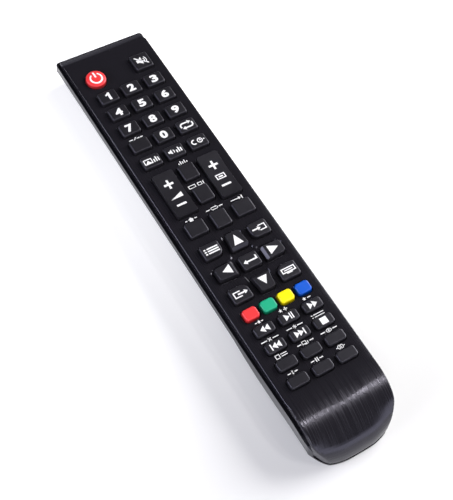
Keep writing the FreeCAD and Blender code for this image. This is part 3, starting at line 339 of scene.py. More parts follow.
# Back case: the lower half, moulded in gloss black ABS a little wider than the face, with sloped sides that
# run out towards the nose. It carries the board on ribs and holds the battery bay.
CASE_EDGE = 0.25
CASE_EDGE_TURN = math.radians(30)
CASE_OUT = (1.3, 0.8, 1.2)
NOSE_TUCK, NOSE_TUCK_RUN, NOSE_TUCK_HEIGHT = 0.9, (98.0, 107.0), (0.9, 2.2)
CASE_SMOOTH = math.radians(20)
CASE_BLACK = (0.0065, 0.0063, 0.0082)

gloss = Finish("gloss_black")
smudges = gloss.noise(60, 4.0, 0.55)
scuffs = gloss.noise((2600, 240, 2600), 2.0)
gloss.relief(scuffs, 0.000006, 0.25)
gloss.set(Base_Color=gloss.blend(smudges, CASE_BLACK, (0.0085, 0.0083, 0.0100)),
          Roughness=0.11 + smudges * 0.07, **PLASTIC)


def tucked(work):
    """Draws the rim in towards the face where it runs down round the corners of the nose."""
    for vert in work.verts:
        x, y, z = vert.co / MM
        share = min(1.0, 1 - from_rim(vert.co, CASE_OUT) / CASE_OUT[0])
        if y < NOSE_CUTS_FROM and share > 0:
            across = abs(x) - (SHELL_HALF - NEAR_CORNER)
            ahead = min(0.0, y - (SHELL_NEAR - CASE_OUT[1] + NEAR_CORNER + CASE_OUT[0]))
            outward = Vector((math.copysign(max(0.01, across), x), ahead, 0.0)).normalized()
            tuck = NOSE_TUCK * share * eased(-y, *NOSE_TUCK_RUN) * eased(z, *NOSE_TUCK_HEIGHT)
            vert.co -= outward * tuck * MM
    return work


back = merged("lower_shell")
bevelled(back, CASE_EDGE * MM, CASE_EDGE_TURN, lambda edge: on_rim(edge, CASE_OUT) and is_turn(edge))
back = squared(bowed(tucked(back)), SHELL_HALF + CASE_OUT[0], SHELL_FAR + CASE_OUT[2], FAR_CORNER + CASE_OUT[0],
               SHARP_CORNER + CASE_OUT[0] / 2)
fitted(piece("back_case", back, [gloss], CASE_SMOOTH), "case", "lower_shell", "gloss_black")

# Keys: forty-nine caps of satin plastic, each a piece of its own with drafted walls and a rounded top edge.
# A lip under the face keeps each one in, and its mark is printed on top.
FACE_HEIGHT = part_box("upper_shell")[1].z / MM
LIP_REACH, LIP_DEPTH, FACE_TO_LIP = 0.65, 0.95, 1.6
LIP_TOP = FACE_HEIGHT - FACE_TO_LIP
KEY_DRAFT, COLOUR_DRAFT = 0.2, 0.42
KEY_EDGE, KEY_EDGE_TURN = 0.55, math.radians(22)
KEY_SMOOTH = math.radians(35)
KEY_CORNER, COLOUR_CORNER, LOW_CORNER, RING_CORNER = 1.0, 1.4, 1.3, 3.2
ROUND_STEPS, EDGE_STEPS = 6, 4
FOOT_CLEAR = 0.2
POWER_DOME, POWER_RINGS, POWER_SIDES = 0.5, 6, 64
ROCKERS = ("volume", "channel")
ROCKER_DISH, ROCKER_BANDS = 0.8, 14
ROCKER_PLAY, ROCKER_EAR = 0.35, 3.0
ARROWS = ("right", "up", "left", "down")
ARROW_LOW, ARROW_SLOPE = 0.6, 1.4
ARROW_TAPER_X, ARROW_TAPER_Y = (3.6, 3.1), (4.45, 3.4)
INK_RISE, INK_SINK, BLUNTEST = 0.03, 0.12, 0.4

# Painted shade on the key walls: WALL_SHADE gives the heights where it fades into the top, and the first two numbers
# below give the walls' share of the colour, for black keys and for coloured keys.
WALL_SHADE = (0.0186, 0.0194)
BLACK_WALL_PAINTED_SHADING, COLOUR_WALL_PAINTED_SHADING, WORN_LIGHTER = 1.1, 0.5, 1.12
KEY_BLACK = (0.0122, 0.0115, 0.0138)
COLOURS = {"key_power": ("key_red", (0.80, 0.04, 0.042)), "key_red": ("key_red", (0.80, 0.04, 0.042)),
           "key_green": ("key_green", (0.012, 0.385, 0.20)), "key_yellow": ("key_yellow", (1.0, 0.78, 0.0)),
           "key_blue": ("key_blue", (0.002, 0.09, 0.54))}
LOW_ROWS = ("rewind", "play", "forward", "previous", "next", "stop", "text", "subpage", "reveal", "size",
            "hold", "mix")
WIDE_CORNERS = {"menu": 1, "source": 0, "exit": 2, "display": 3}
KEYS = sorted(name for name in frame["nodes"] if name.startswith("key_"))


def key_finish(name, colour, painted_wall_shading):
    """Satin plastic with a fine eroded grain and a little wear. Its walls carry painted shade: under the top edge the
    colour is scaled by the last argument, as if the light fell on them differently than on the top.
    """
    satin = Finish(name)
    grain = satin.noise(5200, 2.0)
    touch = satin.noise(240, 3.0)
    satin.relief(grain, 0.000008, 0.3)
    worn = tuple(min(1.0, part * WORN_LIGHTER) for part in colour)
    # Painted shade: below the top edge, each key's walls take a scaled copy of its colour.
    rise = satin.axis("Z").between(*WALL_SHADE)
    painted_wall_colour = tuple(part * painted_wall_shading for part in colour)
    satin.set(Base_Color=satin.blend(rise, painted_wall_colour, satin.blend(touch, colour, worn)),
              Roughness=0.27 + touch * 0.1, **PLASTIC)
    return satin


def box_of(node):
    """Low and high corner of a CAD node's box, in millimetres."""
    return [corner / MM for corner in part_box(node)]


def grained(name, scale, detail, colours, roughness, relief=None, **sockets):
    """A finish that follows one grain: its two colours, its least roughness and what the grain adds, and the
    depth and strength of its relief."""
    finish = Finish(name)
    grain = finish.noise(scale, detail)
    if relief:
        finish.relief(grain, *relief)
    finish.set(Base_Color=finish.blend(grain, *colours), Roughness=roughness[0] + grain * roughness[1], **sockets)
    return finish


ink = grained("white_print", scale=3000, detail=3.0, colours=((0.88,) * 3, (0.94,) * 3), roughness=(0.5, 0.15),
              relief=(0.000006, 0.3))


def outline(corners, radii):
    """Points round a plan, each corner rounded by its radius."""
    points = []
    count = len(corners)
    for index, radius in enumerate(radii):
        corner = Vector(corners[index])
        back = (Vector(corners[index - 1]) - corner).normalized()
        ahead = (Vector(corners[(index + 1) % count]) - corner).normalized()
        half = back.angle(ahead) / 2
        outward = 1 if back.cross(ahead) < 0 else -1
        centre = corner + (back + ahead).normalized() * (radius / math.sin(half))
        first = corner + back * (radius / math.tan(half)) - centre
        for step in range(ROUND_STEPS + 1):
            turn = Matrix.Rotation(outward * (math.pi - 2 * half) * step / ROUND_STEPS, 2)
            points.append(centre + turn @ first)
    return points


def grown(corners, distance):
    """Anticlockwise plan corners with every side moved outwards."""
    sides = []
    count = len(corners)
    for index in range(count):
        start, end = Vector(corners[index]), Vector(corners[(index + 1) % count])
        along = (end - start).normalized()
        normal = Vector((along.y, -along.x))
        sides.append((normal, normal.dot(start) + distance))
    moved = []
    for index in range(count):
        (first, reach), (second, span) = sides[index - 1], sides[index]
        turn = first.cross(second)
        moved.append(Vector(((reach * second.y - span * first.y) / turn, (first.x * span - second.x * reach) / turn)))
    return moved


def walls(work, rings):
    """Faces between rings of points, in millimetres, with the last ring left open."""
    levels = [[work.verts.new(Vector(point) * MM) for point in ring] for ring in rings]
    for lower_ring, upper_ring in zip(levels, levels[1:]):
        for index in range(len(lower_ring)):
            work.faces.new((lower_ring[index - 1], lower_ring[index], upper_ring[index], upper_ring[index - 1]))
    work.faces.new(list(reversed(levels[0])))
    return levels[-1]


def block(work, low, high):
    """A plain block between two corners, in millimetres."""
    (x0, y0, z0), (x1, y1, z1) = low, high
    foot = [(x0, y0, z0), (x1, y0, z0), (x1, y1, z0), (x0, y1, z0)]
    top = walls(work, [foot, [(x, y, z1) for x, y, z in foot]])
    work.faces.new(top)


def quarters(count):
    """Quarter turns in plan."""
    return Matrix.Rotation(math.pi / 2 * count, 2)


def key_plan(name, width, height):
    """Corners and corner radii of a key's foot."""
    kind = name.removeprefix("key_")
    if kind in ARROWS:
        near, far = ARROW_TAPER_X if kind in ("right", "left") else ARROW_TAPER_Y
        reach = (width if kind in ("right", "left") else height) / 2
        corners = [Vector(corner) for corner in ((-reach, -near), (reach, -far), (reach, far), (-reach, near))]
        return [quarters(ARROWS.index(kind)) @ corner for corner in corners], [KEY_CORNER] * 4
    radii = [LOW_CORNER if kind in LOW_ROWS else COLOUR_CORNER if name in COLOURS else KEY_CORNER] * 4
    if kind in WIDE_CORNERS:
        radii[WIDE_CORNERS[kind]] = RING_CORNER
    x, y = width / 2, height / 2
    return [(-x, -y), (x, -y), (x, y), (-x, y)], radii


def flat_top(height):
    return lambda x, y: height


def key_body(work, name, centre, width, height, top):
    """The cap of a key, and the height of its top over any point."""
    kind = name.removeprefix("key_")
    x0, y0 = centre
    low = LIP_TOP - (LIP_DEPTH if kind in ROCKERS else 0.0)
    if kind == "power":
        radius = width / 2
        rim = radius - KEY_DRAFT
        edge = top - POWER_DOME
        profile = [(radius, low), (rim, edge - KEY_EDGE)]
        profile += [(rim - KEY_EDGE * (1 - math.cos(turn)), edge - KEY_EDGE * (1 - math.sin(turn)))
                    for turn in [math.pi / 2 * step / EDGE_STEPS for step in range(1, EDGE_STEPS)]]
        dome_rim = rim - KEY_EDGE
        profile += [(dome_rim * share, top - POWER_DOME * share ** 2)
                    for share in [1 - step / POWER_RINGS for step in range(POWER_RINGS)]]
        turns = [math.tau * side / POWER_SIDES for side in range(POWER_SIDES)]
        rings = [[(x0 + r * math.cos(turn), y0 + r * math.sin(turn), z) for turn in turns] for r, z in profile]
        work.faces.new(walls(work, rings))
        return lambda x, y: top - POWER_DOME * min(1.0, math.hypot(x, y) / dome_rim) ** 2
    corners, radii = key_plan(name, width, height)
    foot = outline(corners, radii)
    head = outline(grown(corners, -COLOUR_DRAFT if name in COLOURS else -KEY_DRAFT), radii)
    surface = flat_top(top)
    if kind in ROCKERS:
        def surface(x, y):
            return top - ROCKER_DISH * (1 - min(1.0, abs(2 * y / height)) ** 2)

        straight = height / 2 - KEY_DRAFT - KEY_CORNER
        side_y = [straight * (1 - 2 * step / ROCKER_BANDS) for step in range(1, ROCKER_BANDS)]
        half = 2 * (ROUND_STEPS + 1)
        foot, head = (ring[:half] + [Vector((edge_x, -y)) for y in side_y] + ring[half:]
                      + [Vector((-edge_x, y)) for y in side_y]
                      for ring, edge_x in ((foot, width / 2), (head, width / 2 - KEY_DRAFT)))
    ring = walls(work, [[(x0 + x, y0 + y, low) for x, y in foot],
                        [(x0 + x, y0 + y, surface(x, y)) for x, y in head]])
    if kind in ROCKERS:
        order = ring[ROUND_STEPS + 1:] + ring[:ROUND_STEPS + 1]
        for index in range(len(ring) // 2 - 1):
            work.faces.new([order[index], order[index + 1], order[-index - 2], order[-index - 1]])
    else:
        work.faces.new(ring)
    if kind in ARROWS:
        turn = quarters(ARROWS.index(kind))
        inner = -(width if kind in ("right", "left") else height) / 2
        fall = (top - FACE_HEIGHT - ARROW_LOW) / ARROW_SLOPE
        away = turn @ Vector((-fall, 0.0))
        start = turn @ Vector((inner, 0.0))
        normal = Vector((away.x, away.y, 1.0)).normalized()
        point = Vector((x0 + start.x, y0 + start.y, FACE_HEIGHT + ARROW_LOW)) * MM
        cut = bmesh.ops.bisect_plane(work, geom=work.verts[:] + work.edges[:] + work.faces[:], plane_co=point,
                                     plane_no=normal, clear_outer=True)
        edges = [item for item in cut["geom_cut"] if isinstance(item, bmesh.types.BMEdge)]
        bmesh.ops.edgeloop_fill(work, edges=edges)
    bmesh.ops.recalc_face_normals(work, faces=work.faces)
    low_edge = (low + FOOT_CLEAR) * MM
    bevelled(work, KEY_EDGE * MM, KEY_EDGE_TURN,
             lambda edge: min(vert.co.z for vert in edge.verts) > low_edge, EDGE_STEPS)
    return surface


def inlay(work, mark, place, surface, material=1):
    """A flat mark round a place on a surface, whose height it takes over each of the mark's own points."""
    for points, faces in mark:
        tops, feet = ([work.verts.new(Vector((x + place[0], y + place[1], surface(x, y) + rise)) * MM)
                       for x, y in points] for rise in (INK_RISE, -INK_SINK))
        made = []
        uses = {}
        for face in faces:
            made += [work.faces.new([tops[index] for index in face]),
                     work.faces.new([feet[index] for index in reversed(face)])]
            for first, second in zip(face, (*face[1:], face[0])):
                uses.setdefault(frozenset((first, second)), []).append((first, second))
        for turns in uses.values():
            if len(turns) == 1:
                first, second = turns[0]
                made.append(work.faces.new((feet[first], feet[second], tops[second], tops[first])))
        for face in made:
            face.material_index = material


def shape(*points):
    """A filled mark through its corners."""
    return [(list(points), [tuple(range(len(points)))])]


def line(points, width, closed=False):
    """A stroke of even width through points."""
    path = [Vector(point) for point in points]
    count = len(path)
    left, right = [], []
    for index, point in enumerate(path):
        before = path[index - 1] if index > 0 or closed else None
        after = path[(index + 1) % count] if index < count - 1 or closed else None
        first = (point - before).normalized() if before is not None else (after - point).normalized()
        second = (after - point).normalized() if after is not None else first
        middle = (first + second).normalized()
        normal = Vector((-middle.y, middle.x)) * (width / 2 / max(BLUNTEST, middle.dot(first)))
        left.append(point + normal)
        right.append(point - normal)
    rows = range(count if closed else count - 1)
    faces = [(index, count + index, count + (index + 1) % count, (index + 1) % count) for index in rows]
    return [([tuple(point) for point in left + right], faces)]


def around(x, y, radius, start, end, steps):
    """Points round part of a circle; angles in degrees."""
    turns = [math.radians(start + (end - start) * step / steps) for step in range(steps + 1)]
    return [(x + radius * math.cos(turn), y + radius * math.sin(turn)) for turn in turns]


def arc(x, y, radius, start, end, width, steps=14):
    return line(around(x, y, radius, start, end, steps), width)


def hoop(x, y, radius, width, sides=20):
    return line(around(x, y, radius, 0, 360, sides)[:-1], width, True)


def disc(x, y, radius, sides=14):
    return shape(*around(x, y, radius, 0, 360, sides)[:-1])


def bar(x0, y0, x1, y1):
    return shape((x0, y0), (x1, y0), (x1, y1), (x0, y1))


def box_line(x0, y0, x1, y1, width):
    return line([(x0, y0), (x1, y0), (x1, y1), (x0, y1)], width, True)


def pointer(x, y, reach, half, turn=0):
    """A filled triangle that points along turn quarter turns, its base at x, y."""
    corners = [quarters(turn) @ Vector(corner) for corner in ((0, -half), (reach, 0), (0, half))]
    return shape(*[(x + corner.x, y + corner.y) for corner in corners])


def loops(width, height, stroke):
    """Two arrows that chase each other round a flat loop."""
    tip = height * 0.34
    radius = height / 2 - tip * 0.6
    x = width / 2 - radius - stroke / 2
    return (arc(-x, 0, radius, 215, 90, stroke, 8) + line([(-x, radius), (x - tip * 0.2, radius)], stroke)
            + pointer(x - tip * 0.4, radius, tip, tip * 0.66)
            + arc(x, 0, radius, 35, -90, stroke, 8) + line([(x, -radius), (-x + tip * 0.2, -radius)], stroke)
            + pointer(-x + tip * 0.4, -radius, tip, tip * 0.66, 2))


def numeral(text, width, height):
    """A bold numeral fitted to a width and height."""
    curve = bpy.data.curves.new("numeral", "FONT")
    curve.body = text
    curve.offset = NUMERAL_WEIGHT
    curve.resolution_u = 4
    holder = placed("numeral", curve)
    mesh = whole_mesh(holder)
    flat = bmesh.new()
    flat.from_mesh(mesh)
    bmesh.ops.remove_doubles(flat, verts=flat.verts, dist=NUMERAL_WELD)
    flat.verts.index_update()
    xs = [vert.co.x for vert in flat.verts]
    ys = [vert.co.y for vert in flat.verts]
    middle = Vector(((min(xs) + max(xs)) / 2, (min(ys) + max(ys)) / 2))
    scale_x, scale_y = width / (max(xs) - min(xs)), height / (max(ys) - min(ys))
    points = [((vert.co.x - middle.x) * scale_x, (vert.co.y - middle.y) * scale_y) for vert in flat.verts]
    faces = []
    for face in flat.faces:
        order = [vert.index for vert in face.verts]
        faces.append(tuple(order if face.normal.z > 0 else reversed(order)))
    flat.free()
    bpy.data.objects.remove(holder)
    bpy.data.meshes.remove(mesh)
    return [(points, faces)]


def scaled(mark, across, along):
    return [([(x * across, y * along) for x, y in points], faces) for points, faces in mark]


NUMERAL_WIDTH, NUMERAL_HEIGHT = 3.5, 4.15
NUMERAL_WEIGHT, NUMERAL_WELD = 0.045, 0.00001
PLUS_MINUS = (bar(-2.3, 4.85, 2.3, 5.85) + bar(-0.5, 3.05, 0.5, 4.85) + bar(-0.5, 5.85, 0.5, 7.65)
              + bar(-2.35, -6.6, 2.35, -5.6))
MARKS = {str(digit): numeral(str(digit), NUMERAL_WIDTH, NUMERAL_HEIGHT) for digit in (0, 2, 3, 4, 5, 6, 7, 8, 9)}
MARKS.update({
    "1": shape((0.0, -2.1), (1.15, -2.1), (1.15, 2.1), (0.3, 2.1),
               (-0.25, 1.5), (-1.05, 1.15), (-1.05, 0.3), (0.0, 0.65)),
    "power": arc(0, -0.25, 2.75, -238, 58, 0.8, 28) + line([(0, 0.1 + 0.42 * step) for step in range(9)], 0.84),
    "mute": scaled(shape((-3.1, -1.0), (-1.7, -1.0), (0.4, -2.6), (0.4, 2.6), (-1.7, 1.0), (-3.1, 1.0))
                   + arc(0.6, 0, 1.3, -50, 50, 0.5) + arc(0.6, 0, 2.5, -50, 50, 0.5)
                   + line([(-3.5, 2.9), (3.5, -2.9)], 0.65), 0.8, 0.84),
    "swap": loops(6.7, 4.6, 0.72),
    "picture": (box_line(-3.5, -1.2, 0.1, 1.2, 0.45) + shape((-3.1, -1.0), (-1.7, 0.6), (-0.4, -1.0))
                + bar(0.9, -1.35, 1.5, 0.3) + bar(2.0, -1.35, 2.6, 1.35) + bar(3.1, -1.35, 3.6, 0.8)),
    "sound": (shape((-3.3, -0.5), (-2.5, -0.5), (-1.5, -1.35), (-1.5, 1.35), (-2.5, 0.5), (-3.3, 0.5))
              + arc(-1.4, 0, 1.0, -50, 50, 0.42) + bar(0.5, -1.35, 1.1, 0.2) + bar(1.6, -1.35, 2.2, 1.35)
              + bar(2.7, -1.35, 3.3, 0.7)),
    "sleep": (arc(-1.9, 0, 1.15, 70, 300, 0.6, 12) + hoop(1.0, 0, 1.15, 0.45) + bar(2.7, -0.25, 3.4, 0.25)
              + line([(1.0, 0.75), (1.0, 0.0), (1.6, 0.0)], 0.4)),
    "volume": PLUS_MINUS + shape((-3.0, -2.4), (3.0, -2.4), (3.0, 0.0)),
    "channel": PLUS_MINUS + box_line(-2.1, -2.3, 2.1, -0.1, 0.5) + bar(-1.1, -1.6, 1.1, -0.9),
    "menu": sum((bar(-3.4, y - 0.32, -2.5, y + 0.32) + bar(-1.9, y - 0.32, 3.4, y + 0.32)
                 for y in (-1.15, 0.0, 1.15)), []),
    "source": (bar(-3.4, -0.35, -0.6, 0.35) + pointer(-0.7, 0, 1.5, 1.1)
               + line([(0.0, 1.25), (3.1, 1.25), (3.1, -1.25), (0.0, -1.25)], 0.5)),
    "enter": line([(3.1, 1.4), (3.1, -0.3), (-1.8, -0.3)], 0.7) + pointer(-1.7, -0.3, 1.7, 1.15, 2),
    "exit": (bar(-1.4, -0.35, 1.9, 0.35) + pointer(1.8, 0, 1.6, 1.1)
             + line([(0.2, 1.25), (-3.1, 1.25), (-3.1, -1.25), (0.2, -1.25)], 0.5)),
    "display": box_line(-3.1, -0.75, 3.1, 1.2, 0.5) + bar(-1.4, -1.5, 1.4, -1.05) + bar(-2.1, 0.0, 2.1, 0.45),
    "up": pointer(0.05, -2.35, 5.0, 2.25, 1),
    "down": pointer(0.05, 2.1, 4.1, 2.25, 3),
    "left": pointer(2.2, 0.2, 4.2, 2.25, 2),
    "right": pointer(-2.1, 0.2, 4.7, 2.25),
    "forward": pointer(-2.2, 0, 2.2, 1.55) + pointer(-0.05, 0, 2.2, 1.55),
    "play": pointer(-2.0, 0, 2.3, 1.55) + bar(0.5, -1.5, 1.0, 1.5) + bar(1.5, -1.5, 2.0, 1.5),
    "next": pointer(-2.4, 0, 2.1, 1.5) + pointer(-0.45, 0, 2.1, 1.5) + bar(1.85, -1.5, 2.4, 1.5),
    "stop": bar(-1.6, -1.55, 1.6, 1.55),
})
MARKS["rewind"] = scaled(MARKS["forward"], -1, -1)
MARKS["previous"] = scaled(MARKS["next"], -1, -1)

finishes = {"key_black": key_finish("key_black", KEY_BLACK, BLACK_WALL_PAINTED_SHADING)}
for slot_name, colour in dict(COLOURS.values()).items():
    finishes[slot_name] = key_finish(slot_name, colour, COLOUR_WALL_PAINTED_SHADING)

for node in KEYS:
    kind = node.removeprefix("key_")
    low, high = box_of(node)
    eared = kind in ROCKERS
    width = high.x - low.x - (2 * LIP_REACH if eared else 0.0)
    height = high.y - low.y - (0.0 if eared else 2 * LIP_REACH)
    centre = ((low.x + high.x) / 2, (low.y + high.y) / 2)
    cap = bmesh.new()
    surface = key_body(cap, node, centre, width, height, high.z - INK_RISE)
    if eared:
        block(cap, (low.x, centre[1] - ROCKER_EAR, low.z), (high.x, centre[1] + ROCKER_EAR, LIP_TOP - ROCKER_PLAY))
    else:
        block(cap, (low.x, low.y, low.z), (high.x, high.y, LIP_TOP))
    inlay(cap, MARKS.get(kind, []), centre, surface)
    slot_name = COLOURS.get(node, ("key_black",))[0]
    fitted(piece(node + "_cap", cap, [finishes[slot_name], ink], KEY_SMOOTH), node, node, slot_name)

# Prints on the face: small white pad-printed marks beside the keys that carry none of their own.
# They say what those keys do with plain signs.
FACE_INK_RISE = 0.02
STAR_WAIST = 0.45


def dashes(reach, gap, half=0.22):
    """A short dash each side of a mark, so wide in all."""
    return bar(-reach, -half, -gap, half) + bar(gap, -half, reach, half)


def star(x, y, radius):
    tips = around(x, y, radius, 90, 450, 5)[:-1]
    waists = around(x, y, radius * STAR_WAIST, 126, 486, 5)[:-1]
    return shape(*[point for pair in zip(tips, waists) for point in pair])


FACE_MARKS = [
    (-11.57, 55.3, bar(-3.4, -0.25, -1.6, 0.25) + line([(-1.3, -0.8), (0.1, 0.8)], 0.4)
     + bar(0.3, -0.25, 1.7, 0.25) + bar(2.0, -0.25, 3.4, 0.25)),
    (0.88, 34.7, bar(-2.5, -0.9, -2.0, 0.0) + bar(-1.5, -0.9, -1.0, 0.9) + bar(-0.5, -0.9, 0.0, 0.3)
     + bar(0.5, -0.9, 1.0, 0.9) + bar(1.5, -0.9, 2.0, -0.1)),
    (0.23, 21.2, box_line(-4.1, -0.7, -0.9, 0.7, 0.35) + box_line(0.5, -0.7, 2.3, 0.7, 0.35)
     + bar(3.0, -0.9, 3.5, 0.9)),
    (-11.37, 6.7, shape((-1.4, 0.1), (1.4, 0.1), (0, 1.0)) + bar(-0.9, -0.95, 0.9, 0.1) + dashes(2.9, 1.8)),
    (0.73, 7.2, loops(3.6, 2.0, 0.3) + dashes(4.2, 2.3)),
    (12.08, 6.75, bar(-3.1, -0.2, 0.9, 0.2) + pointer(0.8, 0, 1.3, 0.8) + bar(2.4, -0.95, 2.9, 0.95)),
    (-11.67, -49.15, star(0, 0, 0.95) + dashes(2.0, 1.1)),
    (0.23, -49.15, star(-1.3, 0, 0.95) + bar(0.2, -0.2, 2.0, 0.2) + bar(0.9, -0.9, 1.3, 0.9)),
    (12.03, -49.15, star(-1.1, 0, 0.95) + bar(0.4, -0.2, 2.1, 0.2)),
    (-12.02, -57.95, line([(-0.7, -0.7), (0.7, 0.7)], 0.38) + line([(-0.7, 0.7), (0.7, -0.7)], 0.38)
     + dashes(4.2, 1.3)),
    (0.23, -57.95, line([(0, -0.85), (0, 0.85)], 0.3) + line([(-0.75, -0.42), (0.75, 0.42)], 0.3)
     + line([(-0.75, 0.42), (0.75, -0.42)], 0.3) + dashes(4.0, 1.3)),
    (11.98, -57.95, sum((bar(-3.1, y - 0.18, -2.4, y + 0.18) + bar(-1.9, y - 0.18, 3.1, y + 0.18)
                         for y in (-0.55, 0.55)), [])),
    (-11.67, -66.15, box_line(-2.7, -0.8, -0.9, 0.8, 0.3) + bar(-0.2, 0.3, 2.8, 0.65) + bar(-0.2, -0.65, 2.8, -0.3)),
    (0.23, -66.15, box_line(-1.5, -0.4, 0.3, 0.85, 0.28) + bar(-0.6, -0.85, 1.3, -0.5) + bar(0.95, -0.85, 1.3, 0.5)
     + dashes(4.0, 2.1)),
    (11.98, -66.15, arc(0, -0.75, 1.5, 30, 150, 0.3) + arc(0, 0.75, 1.5, 210, 330, 0.3) + disc(0, 0, 0.45)
     + dashes(4.1, 1.9)),
    (-11.77, -74.75, bar(-0.17, -0.5, 0.17, 0.5) + pointer(0, 0.35, 0.6, 0.55, 1) + pointer(0, -0.35, 0.6, 0.55, 3)
     + dashes(2.4, 0.9)),
    (0.18, -74.75, bar(-0.7, -0.9, -0.2, 0.9) + bar(0.2, -0.9, 0.7, 0.9) + dashes(3.0, 1.3)),
    (12.03, -74.75, hoop(-0.5, 0, 0.8, 0.3) + hoop(0.5, 0, 0.8, 0.3) + dashes(2.1, 1.6)),
]

print_work = bmesh.new()
for x0, y0, mark in FACE_MARKS:
    inlay(print_work, mark, (x0, y0), flat_top(FACE_HEIGHT + FACE_INK_RISE - INK_RISE), 0)
prints = piece("face_prints", print_work, [ink])
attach(prints, "case")

# Inside pieces: the silicone web, the circuit board with what is soldered to it, the infrared diode and its
# dark filter window, all held between the two shells.
FINE_WELD = 0.000002
PAD_RADIUS, PAD_DEPTH = 1.7, 0.04

silicone = grained("silicone", scale=900, detail=3.0, colours=((0.22, 0.22, 0.23), (0.28, 0.28, 0.29)),
                   roughness=(0.7, 0.15), relief=(0.00002, 0.3))
component = grained("component", scale=3500, detail=2.0, colours=((0.022, 0.022, 0.024), (0.035, 0.035, 0.038)),
                    roughness=(0.5, 0.15), relief=(0.00001, 0.4))
epoxy = grained("clear_epoxy", scale=300, detail=2.0, colours=((0.62, 0.66, 0.80), (0.70, 0.74, 0.88)),
                roughness=(0.08, 0.05), Transmission_Weight=0.8, IOR=1.53)
window = grained("filter", scale=200, detail=2.0, colours=((0.022, 0.003, 0.006), (0.034, 0.005, 0.010)),
                 roughness=(0.06, 0.04))

board = Finish("board")
traces = board.node("ShaderNodeTexBrick", {
    "Vector": board.place(420), "Color1": (0.016, 0.15, 0.055), "Color2": (0.022, 0.18, 0.065),
    "Mortar": (0.035, 0.26, 0.10), "Scale": 1.0, "Mortar Size": 0.03}, offset=0.5, squash=1.0)
board_grain = board.noise(1500, 2.0)
board.relief(board_grain, 0.00001, 0.3)
board.set(Base_Color=traces, Roughness=0.28 + board_grain * 0.12)


class Pattern(Finish):
    """A geometry tree with named sizes, in metres, that grows what repeats or follows a path."""

    def __init__(self, name, sizes):
        self.sizes = sizes
        self.tree = bpy.data.node_groups.new(name, "GeometryNodeTree")
        socket = self.tree.interface.new_socket
        socket(name="Geometry", in_out="OUTPUT", socket_type="NodeSocketGeometry")
        socket(name="Places", in_out="INPUT", socket_type="NodeSocketGeometry")
        for label in sizes:
            socket(name=label, in_out="INPUT", socket_type="NodeSocketFloat")
        self.entry = self.tree.nodes.new("NodeGroupInput")

    def size(self, label):
        return Signal(self, self.entry.outputs[label])

    def point(self, x=0.0, y=0.0, z=0.0):
        return self.node("ShaderNodeCombineXYZ", {"X": x, "Y": y, "Z": z})

    def moved(self, shape, place):
        return self.node("GeometryNodeTransform", {"Geometry": shape, "Translation": place})

    def joined(self, shapes):
        return self.node("GeometryNodeJoinGeometry", {"Geometry": shapes})

    def cylinder(self, sides, radius, depth):
        return self.node("GeometryNodeMeshCylinder", {"Vertices": sides, "Radius": radius, "Depth": depth})

    def spiral(self, steps, turns, start, end, rise):
        return self.node("GeometryNodeCurveSpiral", {"Resolution": steps, "Rotations": turns, "Start Radius": start,
                                                     "End Radius": end, "Height": rise})

    def drawn(self, path, sides, radius):
        """A bar with so many sides that follows a path."""
        section = self.node("GeometryNodeCurvePrimitiveCircle", {"Resolution": sides, "Radius": radius})
        return self.node("GeometryNodeCurveToMesh", {"Curve": path, "Profile Curve": section, "Fill Caps": True})

    def each(self, shape):
        """One shape at each of the places that the tree is given."""
        return self.node("GeometryNodeInstanceOnPoints", {"Points": self.size("Places"), "Instance": shape})

    def grown(self, shape, finish, places):
        """The plain mesh that the finished tree makes of the places, in millimetres."""
        whole = self.node("GeometryNodeRealizeInstances", {"Geometry": shape})
        dressed = self.node("GeometryNodeSetMaterial", {"Geometry": whole, "Material": finish.material})
        self.tree.links.new(dressed.socket, self.tree.nodes.new("NodeGroupOutput").inputs[0])
        marks = bpy.data.meshes.new(self.tree.name)
        marks.from_pydata([Vector(place) * MM for place in places], [], [])
        holder = placed(self.tree.name, marks)
        growing = holder.modifiers.new("pattern", "NODES")
        growing.node_group = self.tree
        for item in self.tree.interface.items_tree:
            if item.in_out == "INPUT" and item.name in self.sizes:
                growing[item.identifier] = self.sizes[item.name]
        mesh = whole_mesh(holder)
        work = bmesh.new()
        work.from_mesh(mesh)
        bmesh.ops.remove_doubles(work, verts=work.verts, dist=FINE_WELD)
        for face in work.faces:
            face.material_index = 0
        for data, item in ((bpy.data.objects, holder), (bpy.data.meshes, marks), (bpy.data.meshes, mesh)):
            data.remove(item)
        return work


pads = Pattern("carbon_pad", {"Radius": PAD_RADIUS * MM, "Depth": PAD_DEPTH * MM})
pad = pads.cylinder(20, pads.size("Radius"), pads.size("Depth"))
board_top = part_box("circuit_board")[1].z / MM
pad_places = []
for node in KEYS:
    low, high = box_of(node)
    middle = (low + high) / 2
    reach = (high.y - low.y) / 3 if node.removeprefix("key_") in ROCKERS else 0.0
    pad_places += [(middle.x, middle.y + offset, board_top + PAD_DEPTH / 2) for offset in sorted({-reach, reach})]
carbon = piece("carbon_pads", pads.grown(pads.each(pad), component, pad_places), [component])
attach(carbon, "case")

INSIDE = (("keypad_mat", "silicone", silicone, 0.15), ("circuit_board", "board", board, 0.08),
          ("board_components", "component", component, 0.12), ("infrared_led", "clear_epoxy", epoxy, 0.06),
          ("infrared_window", "filter", window, 0.2))
for node, slot_name, finish, edge in INSIDE:
    work = merged(node)
    bevelled(work, edge * MM, SHARP_TURN)
    fitted(piece(node + "_fitted", work, [finish]), "case", node, slot_name)

# Battery bay: two AAA cells in printed sleeves between nickel-plated plates, and two conical springs wound
# from round wire that press on them.
CELL_EDGE = 0.25
CELL_EDGE_TURN = math.radians(55)
CELL_BAND, CELL_SLEEVE = 0.0125, 0.0205

